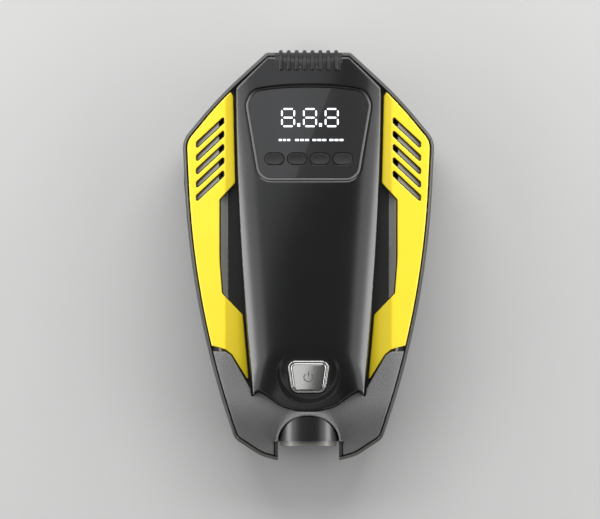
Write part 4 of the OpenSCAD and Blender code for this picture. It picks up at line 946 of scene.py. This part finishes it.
# Three digits of seven segments, each from one corner or side of the figure to another
segments = []
reach_x, reach_y = (digit_w - stroke) / 2, (digit_h - stroke) / 2
for x in digit_places:
    for ax, ay, bx, by in ((-1, 1, 1, 1), (-1, 0, 1, 0), (-1, -1, 1, -1), (-1, 0, -1, 1), (1, 0, 1, 1),
                           (-1, -1, -1, 0), (1, -1, 1, 0)):
        segments.append(bar((x + ax * reach_x, digit_y + ay * reach_y),
                            (x + bx * reach_x, digit_y + by * reach_y)))
point_half, point_y0, point_y1, point_places = 0.7, 64.2, 65.9, (-4.9, 6.0)
segments += [dash(x - point_half, x + point_half, point_y0, point_y1) for x in point_places]
digits = inlay("lit_digits", segments, top=arch_top(0))
dress(digits, lit_segment, "led", "housing")
scale_y0, scale_y1, scale_spans = 57.0, 58.0, ((-14.85, -9.1), (-6.7, 0.25), (2.0, 8.9), (10.5, 17.5))
scale_bars = []
for x0, x1 in scale_spans:
    step = (x1 - x0 + 0.55) / 3
    scale_bars += [dash(x0 + k * step, x0 + k * step + step - 0.6, scale_y0, scale_y1) for k in range(3)]
scale = inlay("lit_scale_bars", scale_bars, top=arch_top(0))
dress(scale, lit_segment, "led", "housing")

# Glass-fibre board under solder mask: a satin green that drifts with the cloth below it
circuit_board = moulded("solder_masked_board", "1f5a35", 0.45, 0.9, 0.03, shade=0.15, edge_mm=0.1)
# Filled epoxy of chips, relays and capacitors: matt black
black_component = moulded("black_component_case", "1c1c1d", 0.5, 0.5, 0.02, shade=0.1, edge_mm=0.15)
# Nickel over steel: a warm silver with soft reflections
nickel_plate = moulded("nickel_plated_steel", "b9b6ae", 0.25, 0.3, 0.004, shade=0.05, edge_mm=0.1,
                       Metallic=1.0)
coat(circuit_board, "display_board")
coat(black_component, "display_module")

# ---------------------------------------------------------------- keys
# Four oval push keys of matt black silicone rubber, a little proud of the window, each on its own
# tact switch. The tops are dished for a fingertip.
key_proud, key_dish = 0.45, 0.35
# Silicone rubber: matt and nearly black, so that the keys stand off the mirroring window
key_rubber = moulded("black_silicone_rubber", "171717", 0.55, 0.5, 0.02, shade=0.06)


def dished(middle):
    """A key's top: the window's curve, a little proud, with a bowl in the middle."""
    def height(x, y):
        bowl = 1 - np.clip(((x - middle) / (key_w / 2)) ** 2 + ((y - key_y) / (key_h / 2)) ** 2, 0, 1)
        return arch_top(key_proud)(x, y) - key_dish * bowl
    return height


def at_height(z):
    """A flat surface at one height, as a function of the place like the others."""
    return lambda x, y: np.full(len(y), z)


for number, x in enumerate(key_places, 1):
    key = cover(f"oval_key_{number}", [oval(x)], [], dished(x), at_height(key_low_z), 0.45, 0.9)
    dress(key, key_rubber, "key", f"key_{number}", f"key_{number}")
coat(nickel_plate, "key_switches")

# ---------------------------------------------------------------- power key
# The large key on the lower slope: ABS with a satin chrome plate and a flat top, inside a bright
# ring that is pressed into the spine. Its sign is the usual ring and stroke, printed on the plate.
power_rise, power_depth, ring_drop, ring_depth = 0.4, 4.5, 0.3, 3.2
sign_r, sign_w, sign_y0, sign_y1 = 2.3, 0.5, 0.5, 3.1
# Satin chrome over ABS: a clean silver that takes on the light and the dark of the room
satin_chrome = moulded("satin_chrome_plate", "d0d0ce", 0.07, 0.35, 0.0003, shade=0.03, Metallic=1.0)
# Bright chrome: a hard thin line of light round the key
bright_chrome = moulded("bright_chrome_plate", "d8d8d6", 0.16, 0.35, 0.001, shade=0.02, Metallic=1.0)
# Baked ink: a flat grey, readable only from near
sign_ink = moulded("grey_sign_ink", "6a6a6a", 0.5, 0.3, 0.0, shade=0.05)


def on_slope(points):
    """Lays points on the spine's lower slope, with the power key's middle as their origin."""
    x, v, w = points.T
    return np.column_stack([x, power_y + v * math.cos(slope) - w * math.sin(slope),
                            power_z + v * math.sin(slope) + w * math.cos(slope)])


power_ring = cover("power_ring", [rounded(power_corners, -power_ring_w - key_gap)],
                   [rounded(power_corners, -key_gap)], at_height(power_rise - ring_drop),
                   at_height(-ring_depth), 0.35, 0.8, place=on_slope)
dress(power_ring, bright_chrome, "power_silver", "housing", "power_button_ring")
power_key = cover("power_key", [rounded(power_corners)], [], at_height(power_rise),
                  at_height(-power_depth), 0.6, 1.2, place=on_slope)
dress(power_key, satin_chrome, "power_silver", "power_button", "power_button")
turn = np.radians(np.linspace(40, 320, 40))
open_ring = [(r * math.sin(t), r * math.cos(t))
             for r, way in ((sign_r + sign_w / 2, turn), (sign_r - sign_w / 2, turn[::-1])) for t in way]
stroke_loop = dash(-sign_w / 2, sign_w / 2, sign_y0, sign_y1)
sign = inlay("power_sign", [open_ring, stroke_loop], place=on_slope, proud=0.02, top=at_height(power_rise))
dress(sign, sign_ink, "power_silver", "power_button")
coat(black_component, "power_switch")

# ---------------------------------------------------------------- top port
# The port for the jump leads: a blue polarised socket with two gold-brass sleeves, closed by a
# rubber cover that wraps over the top end, with eight grip ribs, and swings on its lower edge.
ribs, rib_pitch, rib_w, rib_inset = 8, 3.95, 2.0, 0.5
# Thermoplastic rubber: black and dull, the light lies broad on the ribs
port_rubber = moulded("moulded_port_rubber", "1a1a1a", 0.55, 0.5, 0.03, shade=0.06)
# Glass-filled nylon: a deep blue with a slightly chalky skin
blue_nylon = moulded("blue_glass_filled_nylon", "2b3f8f", 0.5, 0.5, 0.03, shade=0.08, edge_mm=0.2)
# Brass from the lathe: warm yellow metal with fine bright edges
turned_brass = moulded("turned_brass", "c9a45c", 0.25, 0.25, 0.006, shade=0.06, edge_mm=0.1, Metallic=1.0)


def top_end(x, y0, z0, count=70):
    """Side line of the rounded top end at x, from y0 on the front over and down to z0: its points,
    its normals and each point's distance from the nearer end."""
    line = port_line(0, y0 - 3)
    line = line[line[:, 1] > z0 - 3]
    line[:, 1] = soft_min(line[:, 1], crowned(spine_arch, x, line[:, 0]), 2.5)
    start = np.interp(y0, line[:, 0][:20], line[:, 1][:20])
    line = np.concatenate([[(y0, start)], line[line[:, 0] > y0 + 0.05]])
    line = np.concatenate([line[line[:, 1] > z0 + 0.05], [(line[-1][0], z0)]])
    run = np.concatenate([[0], np.cumsum(np.linalg.norm(np.diff(line, axis=0), axis=1))])
    even = np.linspace(0, run[-1], count)
    line = np.column_stack([np.interp(even, run, line[:, 0]), np.interp(even, run, line[:, 1])])
    way = np.gradient(line, axis=0)
    way /= np.linalg.norm(way, axis=1)[:, None]
    return line, np.column_stack([-way[:, 1], way[:, 0]]), np.minimum(even, run[-1] - even)


def bowed(stations, y0, z0, upper, lower):
    """Rings of a strip over the top end; upper and lower say how far it stands off at x and a margin."""
    rings = []
    for x in stations:
        line, normals, margin = top_end(x, y0, z0)
        outer = line + normals * upper(x, margin)[:, None]
        inner = line + normals * lower(x, margin)[:, None]
        loop = np.concatenate([outer, inner[::-1]])
        rings.append(np.column_stack([np.full(len(loop), x), loop]))
    return rings


def stops(start, end, margin, count):
    """Places from start to end: close together at both ends, where an edge rolls over, and even
    between them."""
    way = 1 if end > start else -1
    near = way * np.array([0, 0.1, 0.3, 0.6])
    middle = np.linspace(start + way * margin, end - way * margin, count)
    return np.concatenate([start + near, middle, end - near[::-1]])


port_roll, rib_roll, rib_root = 0.6, 0.95, 0.9
port_y0, port_half = top_y - port_lip, port_w / 2
flap = bowed(stops(port_half, -port_half, 1.2, 30), port_y0, port_hinge_z,
             lambda x, margin: -sink(np.minimum(margin, port_half - abs(x)), port_roll), at_height(-flap_t))
parts = [loft("flap", flap)]
for i in range(ribs):
    middle = (i - (ribs - 1) / 2) * rib_pitch
    offsets = np.sin(np.linspace(math.pi / 2, -math.pi / 2, 11)) * rib_w / 2

    def rib_top(x, margin):
        return rib_h - 0.02 - sink(np.minimum(margin, rib_w / 2 - abs(x - middle)), rib_roll)

    rib = bowed(middle + offsets, port_y0 + rib_inset, port_hinge_z + 3, rib_top, at_height(-rib_root))
    parts.append(loft("rib", rib))
port_flap = merged("jump_flap", parts)
dress(port_flap, port_rubber, "soft_rubber", "jump_port_cover", "jump_port_cover")
coat(blue_nylon, "jump_socket")
coat(turned_brass, "socket_contacts")

# ---------------------------------------------------------------- side port
# Two nickel-plated USB sockets on their own board, behind a rubber cover in the left flank that
# follows the housing's curve and swings on its lower edge. A low ridge takes the thumbnail.
side_z0, side_z1 = side_flap_z, seam_z - 0.8
ridge_z, ridge_l, ridge_w, ridge_h = 20.6, 5, 0.7, 0.5
# The straight run of the outline, which the left flank mirrors, in the order of y
run = np.flatnonzero((edge_points[:, 0] > 40) & (edge_points[:, 1] < 57))
run = run[np.argsort(edge_points[run, 1])]


def flank(y, z, depth):
    """Left wall of the housing at y and z, at a depth below its surface."""
    x = np.interp(y, edge_points[run, 1], edge_points[run, 0])
    move = np.interp(y, edge_points[run, 1], edge_moves[run, 0])
    return -(x + move * (wall_in(z) + depth))


levels = stops(side_z0, side_z1, 1.0, 9)
rings = []
for y in stops(side_y1, side_y0, 1.5, 20):
    margin = np.minimum(np.minimum(levels - side_z0, side_z1 - levels), min(y - side_y0, side_y1 - y))
    across = np.exp(-(((levels - ridge_z) / ridge_w) ** 2))
    ridge = np.exp(-(((y - side_port_y) / ridge_l) ** 2)) * across * ridge_h
    outer, inner = (np.column_stack([flank(y, levels, depth), np.full(len(levels), y), levels])
                    for depth in (sink(margin, port_roll) - ridge, flap_t))
    rings.append(np.concatenate([outer, inner[::-1]]))
side_flap = loft("side_flap", rings)
dress(side_flap, port_rubber, "soft_rubber", "side_port_cover", "side_port_cover")
coat(nickel_plate, "usb_sockets")
coat(circuit_board, "usb_board")

# ---------------------------------------------------------------- air outlet
# The brass air outlet in the right flank: turned from bar, with a rolled thread for the hose, an
# undercut behind it and a hexagon inside the wall; a soft tube joins it to the pump.
thread_pitch, thread_depth, undercut, undercut_depth, outlet_bore = 1.0, 0.5, 0.8, 0.6, 1.5
nut_r, nut_x0, nut_x1 = 6.4, outlet_seat_x - 5.5, outlet_seat_x - 2.55
thread_x0 = outlet_seat_x + undercut
thread_x1 = thread_x0 + outlet_l
turns = np.linspace(0, 2 * math.pi, 96, endpoint=False)
stem_x = [outlet_seat_x - 3, outlet_seat_x - 0.02, outlet_seat_x, thread_x0 - 0.02]
rings = []
for x in np.concatenate([stem_x, np.arange(thread_x0, thread_x1 + 0.01, 0.1)]):
    if x < outlet_seat_x - 0.01:
        radius = np.full(len(turns), outlet_r)
    elif x < thread_x0 - 0.01:
        radius = np.full(len(turns), outlet_r - undercut_depth)
    else:
        # The thread climbs one pitch a turn, and fades to its root at both ends
        phase = (x / thread_pitch + turns / (2 * math.pi)) % 1
        fade = np.clip(min(x - thread_x0, thread_x1 - x) / 0.5, 0, 1)
        groove = np.clip(np.abs(phase - 0.5) * 2.5 - 0.12, 0, 1)
        radius = outlet_r - thread_depth * (1 - fade * (1 - groove))
    rings.append(np.column_stack([np.full(len(turns), x), outlet_y + radius * np.cos(turns),
                                  outlet_z + radius * np.sin(turns)]))
stem = loft("stem", rings)
nut_turns = np.radians(np.arange(6) * 60 + 30)
nut_y, nut_z = outlet_y + nut_r * np.cos(nut_turns), outlet_z + nut_r * np.sin(nut_turns)
nut = loft("nut", [np.column_stack([np.full(6, x), nut_y, nut_z]) for x in (nut_x0, nut_x1)])
for part in (stem, nut):
    carve(part, rod(outlet_bore, (outlet_seat_x - 10, outlet_y, outlet_z), (80, outlet_y, outlet_z), 48))
outlet = merged("threaded_outlet", [stem, nut])
dress(outlet, turned_brass, "brass", "housing", "air_outlet")
# Polyurethane hose: a dark grey with a soft shine along it
hose_plastic = moulded("polyurethane_hose", "3a3a3c", 0.35, 0.6, 0.01, shade=0.06)
coat(hose_plastic, "air_tube")

# ---------------------------------------------------------------- lamp
# The torch between the legs: a gloss black barrel that shows in the notch, a screwed ring, a clear
# polycarbonate lens, an aluminised reflector and one white LED.

# Glossy polycarbonate: a round black body with one long highlight
lamp_black = moulded("gloss_black_polycarbonate", "121212", 0.32, 0.5, 0.003, shade=0.05,
                     edge_mm=0.35, Coat_Weight=0.7, Coat_Roughness=0.26)
# Clear polycarbonate: a window that shows the reflector behind it
lamp_window = moulded("clear_polycarbonate", "f6f8fa", 0.05, 1.0, 0.0, shade=0.01,
                      Transmission_Weight=0.95, IOR=1.58)
# Vacuum-coated aluminium: a bright mirror with no colour of its own
aluminised = moulded("aluminised_reflector", "e4e4e2", 0.1, 0.4, 0.002, shade=0.02, Metallic=1.0)
# Phosphor over the unlit chip: a pale yellow dot
led_phosphor = moulded("led_phosphor", "f4e9a8", 0.5, 0.3, 0.01, shade=0.08)
coat(lamp_black, "torch_barrel")
coat(rim_paint, "torch_ring")
coat(lamp_window, "torch_lens")
coat(aluminised, "torch_reflector")
coat(led_phosphor, "torch_led")

# ---------------------------------------------------------------- boards inside
# The main board with the relay that joins the battery to the leads, and two electrolytic
# capacitors; glass-fibre board under green solder mask, components in moulded cases.
coat(circuit_board, "main_board")
coat(black_component, "relay", "capacitors")

# ---------------------------------------------------------------- battery
# Four lithium pouch cells in drawn aluminium foil, stacked in a nylon tray and joined by nickel
# straps that are welded over their ends.

# Drawn aluminium laminate: a dull silver with soft, wide reflections
cell_foil = moulded("pouch_cell_foil", "9aa0a6", 0.3, 0.7, 0.02, shade=0.06, edge_mm=0.4, Metallic=0.85)
# Natural nylon: an off-white with a waxy sheen
white_nylon = moulded("natural_nylon", "ddd9cc", 0.45, 0.5, 0.02, shade=0.04, edge_mm=0.2)
coat(cell_foil, "cell_1", "cell_2", "cell_3", "cell_4")
coat(white_nylon, "battery_tray")
coat(nickel_plate, "battery_straps")

# ---------------------------------------------------------------- pump
# The inflator: a can motor drives a nylon crank gear, whose pin moves a rod and piston in an
# aluminium cylinder; the parts are screwed to a frame pressed from zinc-plated steel.

# Zinc over pressed steel: a bluish silver that is a little cloudy
zinc_plate = moulded("zinc_plated_steel", "a8aaac", 0.35, 1.2, 0.006, shade=0.1, edge_mm=0.15,
                     Metallic=1.0)
# Die-cast aluminium: grey, with the fine roughness of the mould
die_cast = moulded("die_cast_aluminium", "a5a6a6", 0.45, 0.5, 0.03, shade=0.07, edge_mm=0.2,
                   Metallic=1.0)
# Nitrile rubber: a matt black ring
seal_rubber = moulded("nitrile_seal_rubber", "1a1a1a", 0.6, 0.4, 0.01, shade=0.06)
coat(zinc_plate, "motor_can", "pump_frame", "connecting_rod")
coat(white_nylon, "motor_endcap", "crank_gear", "piston")
coat(turned_brass, "motor_pinion")
coat(die_cast, "cylinder_block", "cylinder_head")
coat(seal_rubber, "piston_seal")

# ---------------------------------------------------------------- feet and screws
# Four rubber feet glued into sunk seats on the back, and eight black-zinc self-tapping screws that
# come up from the back and hold the shells together.

# Soft foot rubber: the dullest black here, with rounded edges
foot_rubber = moulded("foot_rubber", "202020", 0.7, 0.5, 0.04, shade=0.08, edge_mm=0.5)
# Black zinc over steel: a dark metal with a faint shine in the screw heads
black_zinc = moulded("black_zinc_steel", "4a4a4c", 0.35, 0.4, 0.005, shade=0.08, edge_mm=0.15, Metallic=1.0)
coat(foot_rubber, "rubber_feet")
coat(black_zinc, "rear_screws")
